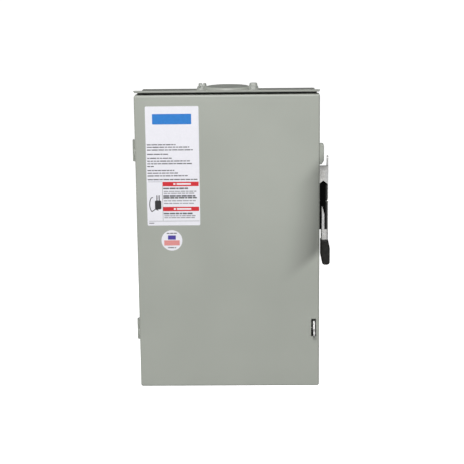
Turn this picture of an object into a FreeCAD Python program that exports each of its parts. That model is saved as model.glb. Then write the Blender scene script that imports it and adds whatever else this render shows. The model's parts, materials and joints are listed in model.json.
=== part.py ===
"""General-duty outdoor safety switch (AC disconnect box), 100 A class, fusible, three poles and neutral.

A rainproof sheet-steel enclosure with a side-hinged door, a side-operated handle, a double-break rotary
switch, knife-blade fuse clips, lugs, and neutral and ground terminals.

Frame, in millimetres: X runs to the right of someone facing the door, Y runs into the wall, Z is up.
The origin is on the back face, at the centre of the four wall-mounting holes, so the wall is the plane
y = 0 and everything else has a negative y.

Every sub-part is written as parts/NODE.step.
"""

import FreeCAD
import Part

import math
import os

V = FreeCAD.Vector

# ---------------------------------------------------------------- driving dimensions
SHEET = 1.5  # enclosure and door steel, 16 gauge
BODY_W = 299.0
BODY_H = 490.0
BODY_D = 147.5
BEND = 2.5  # outside bend radius of the enclosure's sheet
RETURN_W = 12.0  # flange turned inward round the enclosure's mouth

DOOR_W = 305.0
DOOR_H = 499.0
DOOR_FRONT = -152.0
DOOR_FLANGE = 22.0
DOOR_BEND = 3.5

HOOD_TOP = 257.5  # front edge of the drip shield's sloping top
HOOD_REAR = 252.5  # rear edge of that top, over the web
HOOD_LIP = 3.9
HOOD_WEB_Y = -125.0

MOUNT_DX = 220.0
MOUNT_DZ = 430.0
MOUNT_R = 3.75

HUB_Y = -76.0
HUB_OPENING_R = 31.5
HUB_PLATEAU_R = 35.6
HUB_PLATEAU_TOP = 256.5
HUB_SCREW_DX = 43.5
HUB_SCREW_DY = 28.0
HUB_FLANGE_Z = (245.8, 247.8)  # underside and top of the hub closure's flat flange
HUB_BOSS_H = 5.6

HINGE_X = -154.5
HINGE_Y = -125.5
HINGE_R = 4.0
HINGE_PIN_R = 1.8
HINGE_LENGTH = 35.5
HINGE_Z = (155.2, -153.6)

POLE_X = (-34.0, 10.0, 54.0)
BARRIER_X = (-12.0, 32.0)
AXIS_Y = -66.0  # the handle shaft and the rotor share one axis along X
AXIS_Z = 75.0
ROTOR_TRAVEL = 57.0  # degrees between open and closed blades
BLADE_T = 3.0
BLADE_HALF_LENGTH = 42.0
BLADE_WIDTH = 16.0
JAW_GAP = 3.6
JAW_T = 1.2

PAN_FRONT = -11.5
BASE_FRONT = -30.0
STRAP_FRONT = -33.0
BASE_X = (-58.0, 78.0)

LUG_W = 20.0
LUG_D = 24.0
LUG_H = 28.0
WIRE_R = 6.0
WIRE_DY = 9.0  # wire bore centre in front of the lug's seat

UPPER_CLIP_Z = 3.0
LOWER_CLIP_Z = -121.0
CLIP_H = 22.0

LABEL_W = 88.0
LABEL_H = 199.2
LABEL_X = -90.35
LABEL_Z = 131.9
STICKER_R = 17.5
STICKER_X = -94.3
STICKER_Z = 6.7

SLOT_X = (138.7, 147.1)
SLOT_Z = (-161.4, -130.7)
LATCH_Y = -141.0
LATCH_Z = -150.0
LATCH_X = (142.2, 144.8)
LATCH_EYE = (-157.8, -155.4)  # y and z of the padlock eye
STRIKE_Z = -144.5

NEUTRAL_X = -106.0
GROUND_X = -108.0

# ---------------------------------------------------------------- derived places
BODY_X = BODY_W / 2
BODY_Z = BODY_H / 2
INNER_X = BODY_X - SHEET
INNER_Z = BODY_Z - SHEET
DOOR_X = DOOR_W / 2
DOOR_Z = DOOR_H / 2
DOOR_BACK = DOOR_FRONT + SHEET
WALL_IN = -SHEET


# ---------------------------------------------------------------- shape helpers
def box(x, y, z):
    """A block between the two values of each of x, y and z, in either order."""
    lo = V(min(x), min(y), min(z))
    return Part.makeBox(abs(x[1] - x[0]), abs(y[1] - y[0]), abs(z[1] - z[0]), lo)


def rod(start, direction, radius, length):
    return Part.makeCylinder(radius, length, V(*start), V(*direction))


def cone(start, direction, r_start, r_end, length):
    return Part.makeCone(r_start, r_end, length, V(*start), V(*direction))


def outline(points, place):
    """A closed face through (u, v) or (u, v, r) points, with a tangent arc at each corner that has an r.

    place turns (u, v) into a point in space."""
    count = len(points)
    starts, ends, mids = [], [], []
    for i in range(count):
        u, v = points[i][:2]
        r = points[i][2] if len(points[i]) > 2 else 0.0
        pu, pv = points[i - 1][:2]
        nu, nv = points[(i + 1) % count][:2]
        if r <= 0:
            starts.append((u, v))
            ends.append((u, v))
            mids.append(None)
            continue
        before = math.hypot(pu - u, pv - v)
        after = math.hypot(nu - u, nv - v)
        a = ((pu - u) / before, (pv - v) / before)
        b = ((nu - u) / after, (nv - v) / after)
        half = math.acos(max(-1.0, min(1.0, a[0] * b[0] + a[1] * b[1]))) / 2
        tangent = r / math.tan(half)
        starts.append((u + a[0] * tangent, v + a[1] * tangent))
        ends.append((u + b[0] * tangent, v + b[1] * tangent))
        bisector = (a[0] + b[0], a[1] + b[1])
        size = math.hypot(*bisector)
        reach = r / math.sin(half) - r
        mids.append((u + bisector[0] / size * reach, v + bisector[1] / size * reach))
    edges = []
    for i in range(count):
        if mids[i]:
            edges.append(Part.Arc(place(*starts[i]), place(*mids[i]), place(*ends[i])).toShape())
        following = starts[(i + 1) % count]
        if math.hypot(ends[i][0] - following[0], ends[i][1] - following[1]) > 1e-6:
            edges.append(Part.LineSegment(place(*ends[i]), place(*following)).toShape())
    return Part.Face(Part.Wire(edges))


def prism_x(points, x0, x1):
    """(y, z) outline, extruded along X."""
    return outline(points, lambda u, v: V(x0, u, v)).extrude(V(x1 - x0, 0, 0))


def prism_y(points, y0, y1):
    """(x, z) outline, extruded along Y."""
    return outline(points, lambda u, v: V(u, y0, v)).extrude(V(0, y1 - y0, 0))


def prism_z(points, z0, z1):
    """(x, y) outline, extruded along Z."""
    return outline(points, lambda u, v: V(u, v, z0)).extrude(V(0, 0, z1 - z0))


def rectangle(a, b, r=0.0):
    """Corner points of a rectangle between a[0]..a[1] and b[0]..b[1], with corner radius r."""
    return [(a[0], b[0], r), (a[1], b[0], r), (a[1], b[1], r), (a[0], b[1], r)]


def fuse(*solids):
    whole = solids[0]
    if len(solids) > 1:
        whole = whole.multiFuse(list(solids[1:]))
    return whole.removeSplitter()


def cut(solid, *tools):
    return solid.cut(list(tools)).removeSplitter()


def round_edges(solid, radius, wanted):
    """Fillets the edges for which wanted(edge) is true."""
    return solid.makeFillet(radius, [e for e in solid.Edges if wanted(e)])


def on_plane(edge, axis, value, tolerance=0.01):
    """True if the whole edge lies where its coordinate along axis ("x", "y" or "z") is value."""
    return all(abs(getattr(v.Point, axis) - value) < tolerance for v in edge.Vertexes)


def group(solids):
    """Separate solids kept in one node."""
    return Part.makeCompound(list(solids))


def turned(solid, degrees, centre=(0, 0, 0), axis=(1, 0, 0)):
    copy = solid.copy()
    copy.rotate(V(*centre), V(*axis), degrees)
    return copy


def hexagon_corners(centre, radius):
    """Corner points of a regular hexagon, in whichever plane the caller extrudes it from."""
    turns = [math.radians(60 * i) for i in range(6)]
    return [(centre[0] + radius * math.cos(a), centre[1] + radius * math.sin(a)) for a in turns]


def screw(
    seat,
    direction,
    head_r,
    head_h,
    shank_r,
    shank_l,
    slot_turn=0.0,
    washer_r=0.0,
    hexagon=False,
    slot_w=1.4,
):
    """A screw whose head sits on seat and stands out along direction; the shank runs the other way.

    direction is a unit axis. The head is round or hexagonal and has one straight driver slot."""
    base = 0.0
    solids = []
    if washer_r:
        base = 1.0
        solids.append(Part.makeCylinder(washer_r, base))
    if hexagon:
        head = prism_z(hexagon_corners((0, 0), head_r), base, base + head_h)
        crown = cone((0, 0, base - 0.4), (0, 0, 1), head_r + 0.7, head_r - 0.7, head_h + 0.4)
        head = head.common(crown)
    else:
        head = Part.makeCylinder(head_r, head_h, V(0, 0, base))
        head = round_edges(head, head_h * 0.45, lambda e: on_plane(e, "z", base + head_h))
    solids.append(head)
    solids.append(Part.makeCylinder(shank_r, shank_l, V(0, 0, -shank_l)))
    slot_z = (base + head_h * 0.45, base + head_h + 1)
    slot = box((-head_r - 1, head_r + 1), (-slot_w / 2, slot_w / 2), slot_z)
    slot.rotate(V(0, 0, 0), V(0, 0, 1), slot_turn)
    made = cut(fuse(*solids), slot)
    made.Placement = FreeCAD.Placement(V(*seat), FreeCAD.Rotation(V(0, 0, 1), V(*direction)))
    return made


def ring_slugs(centre, direction, radii, thickness, gap=0.25):
    """A concentric knockout: its round hole's cutter, and the centre slug and rings that fill the hole."""
    start = V(*centre)
    along = V(*direction)
    hole = Part.makeCylinder(radii[-1], thickness * 3, start - along * thickness, along)
    slugs = []
    inner = 0.0
    for radius in radii:
        slug = Part.makeCylinder(radius - gap, thickness, start, along)
        if inner:
            slug = slug.cut(Part.makeCylinder(inner, thickness * 3, start - along * thickness, along))
        slugs.append(slug)
        inner = radius
    return hole, slugs


# ---------------------------------------------------------------- enclosure
BOTTOM_KNOCKOUTS = (
    ((-92.0, -76.0), (11.2, 14.3, 17.5)),
    ((0.0, -76.0), (17.5, 22.2, 31.5)),
    ((92.0, -76.0), (11.2, 14.3, 17.5)),
)
SIDE_KNOCKOUT = (-76.0, -196.0, (11.2, 14.3, 17.5))  # y, z, radii
BACK_KNOCKOUTS = ((-45.0, -214.0), (45.0, -214.0))  # x, z
BACK_KNOCKOUT_R = (11.2, 14.3, 17.5)
PAN_STUDS = ((-74.0, -168.0), (-74.0, 196.0), (94.0, -168.0), (94.0, 196.0))
FRAME_RIVETS = ((-86.0, 110.0), (-46.0, 110.0), (-86.0, 12.0), (-46.0, 12.0))  # y, z on the right wall


def wall_knockouts():
    """Knockouts in the folded shell: one in each side and two in the back."""
    y, z, radii = SIDE_KNOCKOUT
    left = ring_slugs((-BODY_X, y, z), (1, 0, 0), radii, SHEET)
    right = ring_slugs((BODY_X, y, z), (-1, 0, 0), radii, SHEET)
    back = [ring_slugs((x, 0, z), (0, -1, 0), BACK_KNOCKOUT_R, SHEET) for x, z in BACK_KNOCKOUTS]
    return [left, right, *back]


def bottom_knockouts():
    return [ring_slugs((x, y, -BODY_Z), (0, 0, 1), radii, SHEET) for (x, y), radii in BOTTOM_KNOCKOUTS]


def enclosure_shell():
    """Back and sides folded from one sheet, with flanges turned in at the mouth and studs for the pan."""
    height = (-INNER_Z, INNER_Z)
    outer = prism_z(rectangle((-BODY_X, BODY_X), (-BODY_D, 0), BEND), *height)
    inner = prism_z(rectangle((-INNER_X, INNER_X), (-BODY_D + SHEET, -SHEET), BEND - SHEET), *height)
    mouth_x = BODY_X - RETURN_W
    mouth = box((-mouth_x, mouth_x), (-BODY_D - 1, -BODY_D + SHEET + 1), height)
    latch_notch = box((130, INNER_X), (-BODY_D - 1, -BODY_D + SHEET + 0.2), (-171.3, -121.0))
    tools = [inner, mouth, latch_notch]
    for x in (-MOUNT_DX / 2, MOUNT_DX / 2):
        for z in (-MOUNT_DZ / 2, MOUNT_DZ / 2):
            tools.append(rod((x, 1, z), (0, -1, 0), MOUNT_R, SHEET + 2))
    tools.append(rod((BODY_X + 1, AXIS_Y, AXIS_Z), (-1, 0, 0), 8.6, SHEET + 2))
    for y, z in FRAME_RIVETS:
        tools.append(rod((BODY_X + 1, y, z), (-1, 0, 0), 2.6, SHEET + 2))
    tools += [hole for hole, _ in wall_knockouts()]
    shell = cut(outer, *tools)
    studs = [rod((x, -SHEET, z), (0, -1, 0), 2.0, 8.0) for x, z in PAN_STUDS]
    return fuse(shell, *studs)


def endwall(top):
    """Top or bottom wall: a flat plate that caps the folded shell, with a lip between the side flanges."""
    sign = 1 if top else -1
    plate = prism_z(rectangle((-BODY_X, BODY_X), (-BODY_D, 0), BEND), sign * INNER_Z, sign * BODY_Z)
    lip_x = BODY_X - RETURN_W - 0.3
    lip = box((-lip_x, lip_x), (-BODY_D, -BODY_D + SHEET), (sign * (INNER_Z - RETURN_W), sign * INNER_Z))
    wall = fuse(plate, lip)
    if top:
        holes = [rod((0, HUB_Y, INNER_Z - 1), (0, 0, 1), HUB_OPENING_R, SHEET + 2)]
        holes += [rod((x, y, INNER_Z - 1), (0, 0, 1), 2.3, SHEET + 2) for x, y in hub_screw_places()]
        return cut(wall, *holes)
    return cut(wall, *[hole for hole, _ in bottom_knockouts()])


def drip_shield():
    """Rain hood over the door's top edge: foot, web, a top rising to the front, and a turned-down lip."""
    z0 = BODY_Z
    t = SHEET
    web = HOOD_WEB_Y
    profile = [
        (web + 8, z0),
        (web + 8, z0 + t),
        (web, z0 + t, 0.8),
        (web, HOOD_REAR, 1.5),
        (DOOR_FRONT, HOOD_TOP, 2.0),
        (DOOR_FRONT, HOOD_TOP - HOOD_LIP),
        (DOOR_FRONT + t, HOOD_TOP - HOOD_LIP),
        (DOOR_FRONT + t, HOOD_TOP - t - 0.3, 0.5),
        (web - t, HOOD_REAR - t + 0.2, 0.5),
        (web - t, z0),
    ]
    hood = prism_x(profile, -DOOR_X, DOOR_X)
    side = BODY_X - 1.0
    for sign in (-1, 1):
        beyond = (sign * side, sign * (DOOR_X + 1))
        hood = hood.cut(box(beyond, (web - t - 0.01, web + 20), (z0 - 1, HOOD_REAR - t)))
        corner = [
            (sign * (DOOR_X + 1), HOOD_TOP - HOOD_LIP - 1),
            (sign * (DOOR_X - 2.6), HOOD_TOP - HOOD_LIP - 1),
            (sign * (DOOR_X + 1), HOOD_TOP - 0.6),
        ]
        hood = hood.cut(prism_y(corner, DOOR_FRONT - 1, DOOR_FRONT + 12))
    return hood.removeSplitter()


# ---------------------------------------------------------------- hub closure on the top wall
def hub_screw_places():
    return [(sx * HUB_SCREW_DX, HUB_Y + sy * HUB_SCREW_DY) for sx in (-1, 1) for sy in (-1, 1)]


def hub_outline():
    return rectangle((-52.0, 52.0), (HUB_Y - 40.0, HUB_Y + 40.0), 11.0)


def hub_closure_gasket():
    sheet = prism_z(hub_outline(), BODY_Z, HUB_FLANGE_Z[0])
    holes = [rod((0, HUB_Y, BODY_Z - 1), (0, 0, 1), 34.0, 4)]
    holes += [rod((x, y, BODY_Z - 1), (0, 0, 1), 2.3, 4) for x, y in hub_screw_places()]
    return cut(sheet, *holes)


def hub_closure_plate():
    """Pressed cover over the hub opening: a flat flange, a raised round plateau and four screw bosses."""
    z0, flange_top = HUB_FLANGE_Z
    plate = prism_z(hub_outline(), z0, flange_top)
    rise = HUB_PLATEAU_TOP - flange_top
    foot = flange_top - 0.01
    plateau = cone((0, HUB_Y, foot), (0, 0, 1), HUB_PLATEAU_R + 3.2, HUB_PLATEAU_R, rise + 0.01)
    bosses = [cone((x, y, foot), (0, 0, 1), 9.4, 8.0, HUB_BOSS_H) for x, y in hub_screw_places()]
    raised = fuse(plate, plateau, *bosses)
    raised = round_edges(raised, 1.2, lambda e: on_plane(e, "z", HUB_PLATEAU_TOP))
    inside = (HUB_PLATEAU_R + 1.6, HUB_PLATEAU_R - 1.8)
    hollow = cone((0, HUB_Y, z0 - 0.01), (0, 0, 1), *inside, rise + 0.01)
    screws = [rod((x, y, z0 - 1), (0, 0, 1), 2.2, 14) for x, y in hub_screw_places()]
    return cut(raised, hollow, *screws)


def hub_closure_screws():
    seat = HUB_FLANGE_Z[1] + HUB_BOSS_H - 0.01
    turns = (74.0, 90.0, 8.0, 150.0)
    return group(
        screw((x, y, seat), (0, 0, 1), 6.9, 4.5, 2.0, 16.0, turn, washer_r=7.5, hexagon=True, slot_w=2.4)
        for (x, y), turn in zip(hub_screw_places(), turns)
    )


# ---------------------------------------------------------------- hinges
def hinge_spans(centre):
    """Z spans of a hinge's three knuckles, from the bottom up: enclosure, door, enclosure."""
    low = centre - HINGE_LENGTH / 2
    third = HINGE_LENGTH / 3
    play = 0.25
    return [(low + i * third + play * (i > 0), low + (i + 1) * third - play * (i < 2)) for i in range(3)]


def knuckle(span):
    return rod((HINGE_X, HINGE_Y, span[0]), (0, 0, 1), HINGE_R, span[1] - span[0])


def pin_bore(centre, radius):
    return rod((HINGE_X, HINGE_Y, centre - HINGE_LENGTH), (0, 0, 1), radius, 2 * HINGE_LENGTH)


def hinge_body_leaf(centre):
    """Leaf welded to the enclosure's left side, with the two outer knuckles."""
    spans = hinge_spans(centre)
    z = (spans[0][0], spans[2][1])
    leaf = prism_x(
        [(HINGE_Y + 1.5, z[0]), (-100.0, z[0], 3.0), (-100.0, z[1], 3.0), (HINGE_Y + 1.5, z[1])],
        -BODY_X - 2.0,
        -BODY_X,
    )
    middle = spans[1][1] - spans[1][0]
    room = rod((HINGE_X, HINGE_Y, spans[1][0] - 0.25), (0, 0, 1), HINGE_R + 0.5, middle + 0.5)
    leaf = fuse(leaf.cut(room), knuckle(spans[0]), knuckle(spans[2]))
    return cut(leaf, pin_bore(centre, HINGE_PIN_R))


def hinge_door_leaf(centre):
    """Strap welded to the door's left flange, with the middle knuckle at its rear end."""
    span = hinge_spans(centre)[1]
    front, rear = -149.0, HINGE_Y - 1.0
    shape = [(front, span[0], 2.5), (rear, span[0]), (rear, span[1]), (front, span[1], 2.5)]
    leaf = fuse(prism_x(shape, -DOOR_X - 1.5, -DOOR_X), knuckle(span))
    return cut(leaf, pin_bore(centre, HINGE_PIN_R + 0.05))


def hinge_pin(centre):
    low = centre - HINGE_LENGTH / 2 - 0.6
    pin = rod((HINGE_X, HINGE_Y, low), (0, 0, 1), HINGE_PIN_R, HINGE_LENGTH + 1.2)
    head = rod((HINGE_X, HINGE_Y, centre + HINGE_LENGTH / 2), (0, 0, 1), 2.8, 1.4)
    return fuse(pin, round_edges(head, 0.6, lambda e: on_plane(e, "z", centre + HINGE_LENGTH / 2 + 1.4)))


# ---------------------------------------------------------------- switch pan and insulating bases
LINE_BASE_Z = (112.0, 208.0)
FUSE_BASE_Z = (-182.0, 44.0)
BASE_SCREWS = [(x, z) for x in (-52.0, 72.0) for z in (160.0, 201.0, 20.0, -165.0)]
SHIELD_POSTS = [(x, 196.0) for x in BARRIER_X]


def mounting_pan():
    """Hat-section steel pan that carries the switch clear of the back wall."""
    x = (-66.0, 86.0)
    z = (-190.0, 214.0)
    t = SHEET
    profile = [
        (x[0] - 14.0, WALL_IN),
        (x[0] - 14.0, WALL_IN - t),
        (x[0] - t, WALL_IN - t, 0.8),
        (x[0] - t, PAN_FRONT, 2.2),
        (x[1] + t, PAN_FRONT, 2.2),
        (x[1] + t, WALL_IN - t, 0.8),
        (x[1] + 14.0, WALL_IN - t),
        (x[1] + 14.0, WALL_IN),
        (x[1], WALL_IN, 0.8),
        (x[1], PAN_FRONT + t, 0.8),
        (x[0], PAN_FRONT + t, 0.8),
        (x[0], WALL_IN, 0.8),
    ]
    pan = prism_z(profile, *z)
    holes = [rod((sx, 0, sz), (0, -1, 0), 2.3, 8) for sx, sz in PAN_STUDS]
    holes += [rod((sx, -5, sz), (0, -1, 0), 2.1, 10) for sx, sz in BASE_SCREWS]
    return cut(pan, *holes)


def pan_nuts():
    nuts = []
    seat = WALL_IN - SHEET
    for x, z in PAN_STUDS:
        nut = prism_y(hexagon_corners((x, z), 4.0), seat, seat - 3.2)
        nuts.append(cut(nut, rod((x, 0, z), (0, -1, 0), 2.05, 12)))
    return group(nuts)


def insulating_base(z, barrier_z, barrier_front):
    """Moulded block on the pan with a barrier wall between each two poles and screw holes at its sides."""
    block = prism_x(
        [(PAN_FRONT, z[0]), (BASE_FRONT, z[0], 1.5), (BASE_FRONT, z[1], 1.5), (PAN_FRONT, z[1])], *BASE_X
    )
    barriers = [
        prism_x(
            [
                (BASE_FRONT + 1, barrier_z[0]),
                (barrier_front, barrier_z[0], 4.0),
                (barrier_front, barrier_z[1], 4.0),
                (BASE_FRONT + 1, barrier_z[1]),
            ],
            x - 1.5,
            x + 1.5,
        )
        for x in BARRIER_X
    ]
    relief_y = (PAN_FRONT + 1, PAN_FRONT - 8.0)
    reliefs = [box((x - 14.0, x + 14.0), relief_y, (z[0] + 12.0, z[1] - 12.0)) for x in POLE_X]
    holes = [rod((x, PAN_FRONT + 1, sz), (0, -1, 0), 2.1, 30) for x, sz in BASE_SCREWS if z[0] < sz < z[1]]
    return cut(fuse(block, *barriers), *reliefs, *holes)


def line_base():
    base = insulating_base(LINE_BASE_Z, (126.0, 206.0), -78.0)
    posts = [rod((x, BASE_FRONT + 1, z), (0, -1, 0), 4.2, 55.0) for x, z in SHIELD_POSTS]
    holes = [rod((x, -86.0, z), (0, 1, 0), 1.65, 14.0) for x, z in SHIELD_POSTS]
    return cut(fuse(base, *posts), *holes)


def fuse_base():
    return insulating_base(FUSE_BASE_Z, (-180.0, 24.0), -72.0)


def base_screws():
    screws = []
    for i, (x, z) in enumerate(BASE_SCREWS):
        screws.append(screw((x, BASE_FRONT, z), (0, -1, 0), 3.8, 2.6, 2.0, 20.0, 25.0 + 40.0 * i))
    return group(screws)


# ---------------------------------------------------------------- current path, one set for each pole
def jaw_leaves(x, z, front, flare):
    """Two copper leaves that grip a blade from both sides, with lips flared outward at the front."""
    leaves = []
    for sign in (-1, 1):
        near = x + sign * JAW_GAP / 2
        far = near + sign * JAW_T
        lip = sign * flare
        leaves.append(
            prism_z(
                [
                    (near, STRAP_FRONT + 0.01),
                    (near, front + 4.0),
                    (near + lip, front),
                    (far + lip, front),
                    (far, front + 4.4),
                    (far, STRAP_FRONT + 0.01),
                ],
                *z,
            )
        )
    return leaves


def terminal_strap(x, z):
    return prism_x(
        [(BASE_FRONT, z[0]), (STRAP_FRONT, z[0]), (STRAP_FRONT, z[1]), (BASE_FRONT, z[1])], x - 9.0, x + 9.0
    )


def line_jaws():
    return group(
        fuse(terminal_strap(x, (103.0, 184.0)), *jaw_leaves(x, (103.0, 122.0), -80.0, 1.2)) for x in POLE_X
    )


def load_jaws():
    return group(
        fuse(terminal_strap(x, (-9.0, 44.0)), *jaw_leaves(x, (28.0, 44.0), -80.0, 1.2)) for x in POLE_X
    )


def fuse_clip(x, centre):
    """U-shaped spring clip for a fuse's knife blade, standing on the strap."""
    z = (centre - CLIP_H / 2, centre + CLIP_H / 2)
    foot = box((x - JAW_GAP / 2 - JAW_T, x + JAW_GAP / 2 + JAW_T), (STRAP_FRONT, STRAP_FRONT - JAW_T), z)
    return fuse(foot, *jaw_leaves(x, z, -63.0, 1.8)).cut(
        box((x - 12, x + 12), (STRAP_FRONT, STRAP_FRONT + 1), (z[0] - 1, z[1] + 1))
    )


def upper_fuse_clips():
    return group(fuse_clip(x, UPPER_CLIP_Z) for x in POLE_X)


def lower_fuse_clips():
    """Lower clips, each fused to the strap that carries its load lug."""
    return group(fuse(fuse_clip(x, LOWER_CLIP_Z), terminal_strap(x, (-180.0, -108.0))) for x in POLE_X)


def fuse_clip_springs():
    """Steel bands that squeeze each fuse clip, bent round its back like a staple."""
    bands = []
    for centre in (UPPER_CLIP_Z, LOWER_CLIP_Z):
        z = (centre - 4.0, centre + 4.0)
        for x in POLE_X:
            inner = JAW_GAP / 2 + JAW_T
            for sign in (-1, 1):
                bands.append(
                    prism_z(
                        [
                            (x + sign * inner, STRAP_FRONT),
                            (x + sign * inner, -57.0),
                            (x + sign * (inner + 0.6), -57.0),
                            (x + sign * (inner + 1.6), -45.0),
                            (x + sign * (inner + 1.6), STRAP_FRONT),
                        ],
                        *z,
                    )
                )
    return group(bands)


def lug(x, seat_y, z0, height=LUG_H):
    """Box lug: an aluminium block with a wire bore along Z and a tapped hole in front for its set screw."""
    z = (z0, z0 + height)
    body = prism_z(
        [
            (x - LUG_W / 2, seat_y),
            (x + LUG_W / 2, seat_y),
            (x + LUG_W / 2, seat_y - LUG_D, 4.0),
            (x - LUG_W / 2, seat_y - LUG_D, 4.0),
        ],
        *z,
    )
    bore = rod((x, seat_y - WIRE_DY, z0 - 1), (0, 0, 1), WIRE_R, height + 2)
    tap = rod((x, seat_y - WIRE_DY, (z[0] + z[1]) / 2), (0, -1, 0), 4.6, LUG_D)
    return cut(body, bore, tap)


def lug_screw(x, seat_y, z):
    """Set screw with a hexagon socket, standing a little proud of its lug."""
    outer_y = seat_y - LUG_D - 3.0
    body = rod((x, outer_y, z), (0, 1, 0), 4.5, 11.0)
    body = round_edges(body, 0.8, lambda e: on_plane(e, "y", outer_y))
    return cut(body, prism_y(hexagon_corners((x, z), 2.6), outer_y - 1, outer_y + 5.0))


LINE_LUG_Z = 152.0
LOAD_LUG_Z = -178.0
NEUTRAL_SEAT = -17.0
NEUTRAL_LUG_Z = (26.0, -64.0)


def line_lugs():
    return group(lug(x, STRAP_FRONT, LINE_LUG_Z) for x in POLE_X)


def load_lugs():
    return group(lug(x, STRAP_FRONT, LOAD_LUG_Z) for x in POLE_X)


def neutral_lugs():
    return group(lug(NEUTRAL_X, NEUTRAL_SEAT, z) for z in NEUTRAL_LUG_Z)


def lug_screws():
    screws = [lug_screw(x, STRAP_FRONT, z + LUG_H / 2) for x in POLE_X for z in (LINE_LUG_Z, LOAD_LUG_Z)]
    screws += [lug_screw(NEUTRAL_X, NEUTRAL_SEAT, z + LUG_H / 2) for z in NEUTRAL_LUG_Z]
    return group(screws)


# ---------------------------------------------------------------- arc chutes and line shield
CHUTE_IN = 34.0
CHUTE_OUT = 66.0
CHUTE_PLATE_ANGLES = (27.0, 35.0, 43.0, 51.0, 59.0)


def polar(radius, degrees):
    """(y, z) at a radius from the switch axis, degrees forward of straight up."""
    a = math.radians(degrees)
    return AXIS_Y - radius * math.sin(a), AXIS_Z + radius * math.cos(a)


def arc_chute_sides():
    """Fibre side plates of each chute, carried by a tab that reaches back to the line base."""
    sides = []
    for x in POLE_X:
        for sign in (-1, 1):
            x0 = x + sign * 13.0
            x1 = x0 + sign * 1.5

            def at(radius, angle, plane=x0):
                return V(plane, *polar(radius, angle))

            edges = [
                Part.Arc(at(CHUTE_OUT, 20), at(CHUTE_OUT, 45), at(CHUTE_OUT, 70)).toShape(),
                Part.LineSegment(at(CHUTE_OUT, 70), at(CHUTE_IN, 70)).toShape(),
                Part.Arc(at(CHUTE_IN, 70), at(CHUTE_IN, 45), at(CHUTE_IN, 20)).toShape(),
                Part.LineSegment(at(CHUTE_IN, 20), V(x0, -66.0, 124.0)).toShape(),
                Part.LineSegment(V(x0, -66.0, 124.0), V(x0, BASE_FRONT, 124.0)).toShape(),
                Part.LineSegment(V(x0, BASE_FRONT, 124.0), V(x0, BASE_FRONT, 137.0)).toShape(),
                Part.LineSegment(V(x0, BASE_FRONT, 137.0), at(CHUTE_OUT, 20)).toShape(),
            ]
            sides.append(Part.Face(Part.Wire(edges)).extrude(V(x1 - x0, 0, 0)))
    return group(sides)


def arc_chute_plates():
    """Steel splitter plates, notched so that the blade's tip passes through them."""
    plates = []
    for x in POLE_X:
        for angle in CHUTE_PLATE_ANGLES:
            plate = box((x - 13.0, x + 13.0), (-0.6, 0.6), (CHUTE_IN, CHUTE_OUT - 3.0))
            notch = [
                (x - 5.0, CHUTE_IN - 1),
                (x + 5.0, CHUTE_IN - 1),
                (x + 4.5, 47.0, 2.0),
                (x, 54.0, 1.5),
                (x - 4.5, 47.0, 2.0),
            ]
            plate = plate.cut(prism_y(notch, -2.0, 2.0))
            plate.rotate(V(0, 0, 0), V(1, 0, 0), angle)
            plate.translate(V(0, AXIS_Y, AXIS_Z))
            plates.append(plate)
    return group(plates)


def line_shield():
    """Clear finger guard over the line lugs, screwed to the posts of the line base."""
    front = -86.0
    profile = [
        (front, 140.0, 1.0),
        (front - 2.0, 138.0, 1.0),
        (front - 2.0, 210.0, 5.0),
        (-62.0, 210.0),
        (-62.0, 208.0),
        (front, 208.0, 3.0),
    ]
    sheet = prism_x(profile, *BASE_X)
    posts = [rod((x, -60.0, z), (0, -1, 0), 2.0, 40) for x, z in SHIELD_POSTS]
    probes = [rod((x, front + 1, LINE_LUG_Z + LUG_H / 2), (0, -1, 0), 4.0, 6) for x in POLE_X]
    spacers = [rod((x, -84.0, z), (0, -1, 0), 4.2, 2.01) for x, z in SHIELD_POSTS]
    return cut(fuse(sheet, *spacers), *posts, *probes)


def line_shield_screws():
    return group(screw((x, -88.0, z), (0, -1, 0), 3.2, 2.2, 1.6, 12.0, 60.0) for x, z in SHIELD_POSTS)


# ---------------------------------------------------------------- rotary switch
def rotor_bearings():
    """Pedestals on the pan that carry the rotor's two journals."""
    blocks = []
    for x in (-65.5, 79.5):
        block = prism_x(
            [
                (PAN_FRONT, AXIS_Z - 22.0),
                (-34.0, AXIS_Z - 16.0, 3.0),
                (AXIS_Y - 13.0, AXIS_Z - 12.0, 9.0),
                (AXIS_Y - 13.0, AXIS_Z + 12.0, 9.0),
                (-34.0, AXIS_Z + 16.0, 3.0),
                (PAN_FRONT, AXIS_Z + 22.0),
            ],
            x,
            x + 6.0,
        )
        blocks.append(cut(block, rod((x - 1, AXIS_Y, AXIS_Z), (1, 0, 0), 7.05, 8)))
    return group(blocks)


def blade(x):
    """One double-break blade across the rotor, built upright and then turned to its open angle."""
    half = BLADE_HALF_LENGTH
    width = BLADE_WIDTH / 2
    plate = prism_x(
        [
            (AXIS_Y - width, AXIS_Z - half, 5.0),
            (AXIS_Y + width, AXIS_Z - half, 5.0),
            (AXIS_Y + width, AXIS_Z + half, 5.0),
            (AXIS_Y - width, AXIS_Z + half, 5.0),
        ],
        x - BLADE_T / 2,
        x + BLADE_T / 2,
    )
    return turned(plate, ROTOR_TRAVEL, (0, AXIS_Y, AXIS_Z))


def switch_blades():
    return group(blade(x) for x in POLE_X)


DRIVE_PIN_RADIUS = 16.0
DRIVE_PIN_R = 2.5
HANDLE_TRAVEL = 95.0


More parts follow.
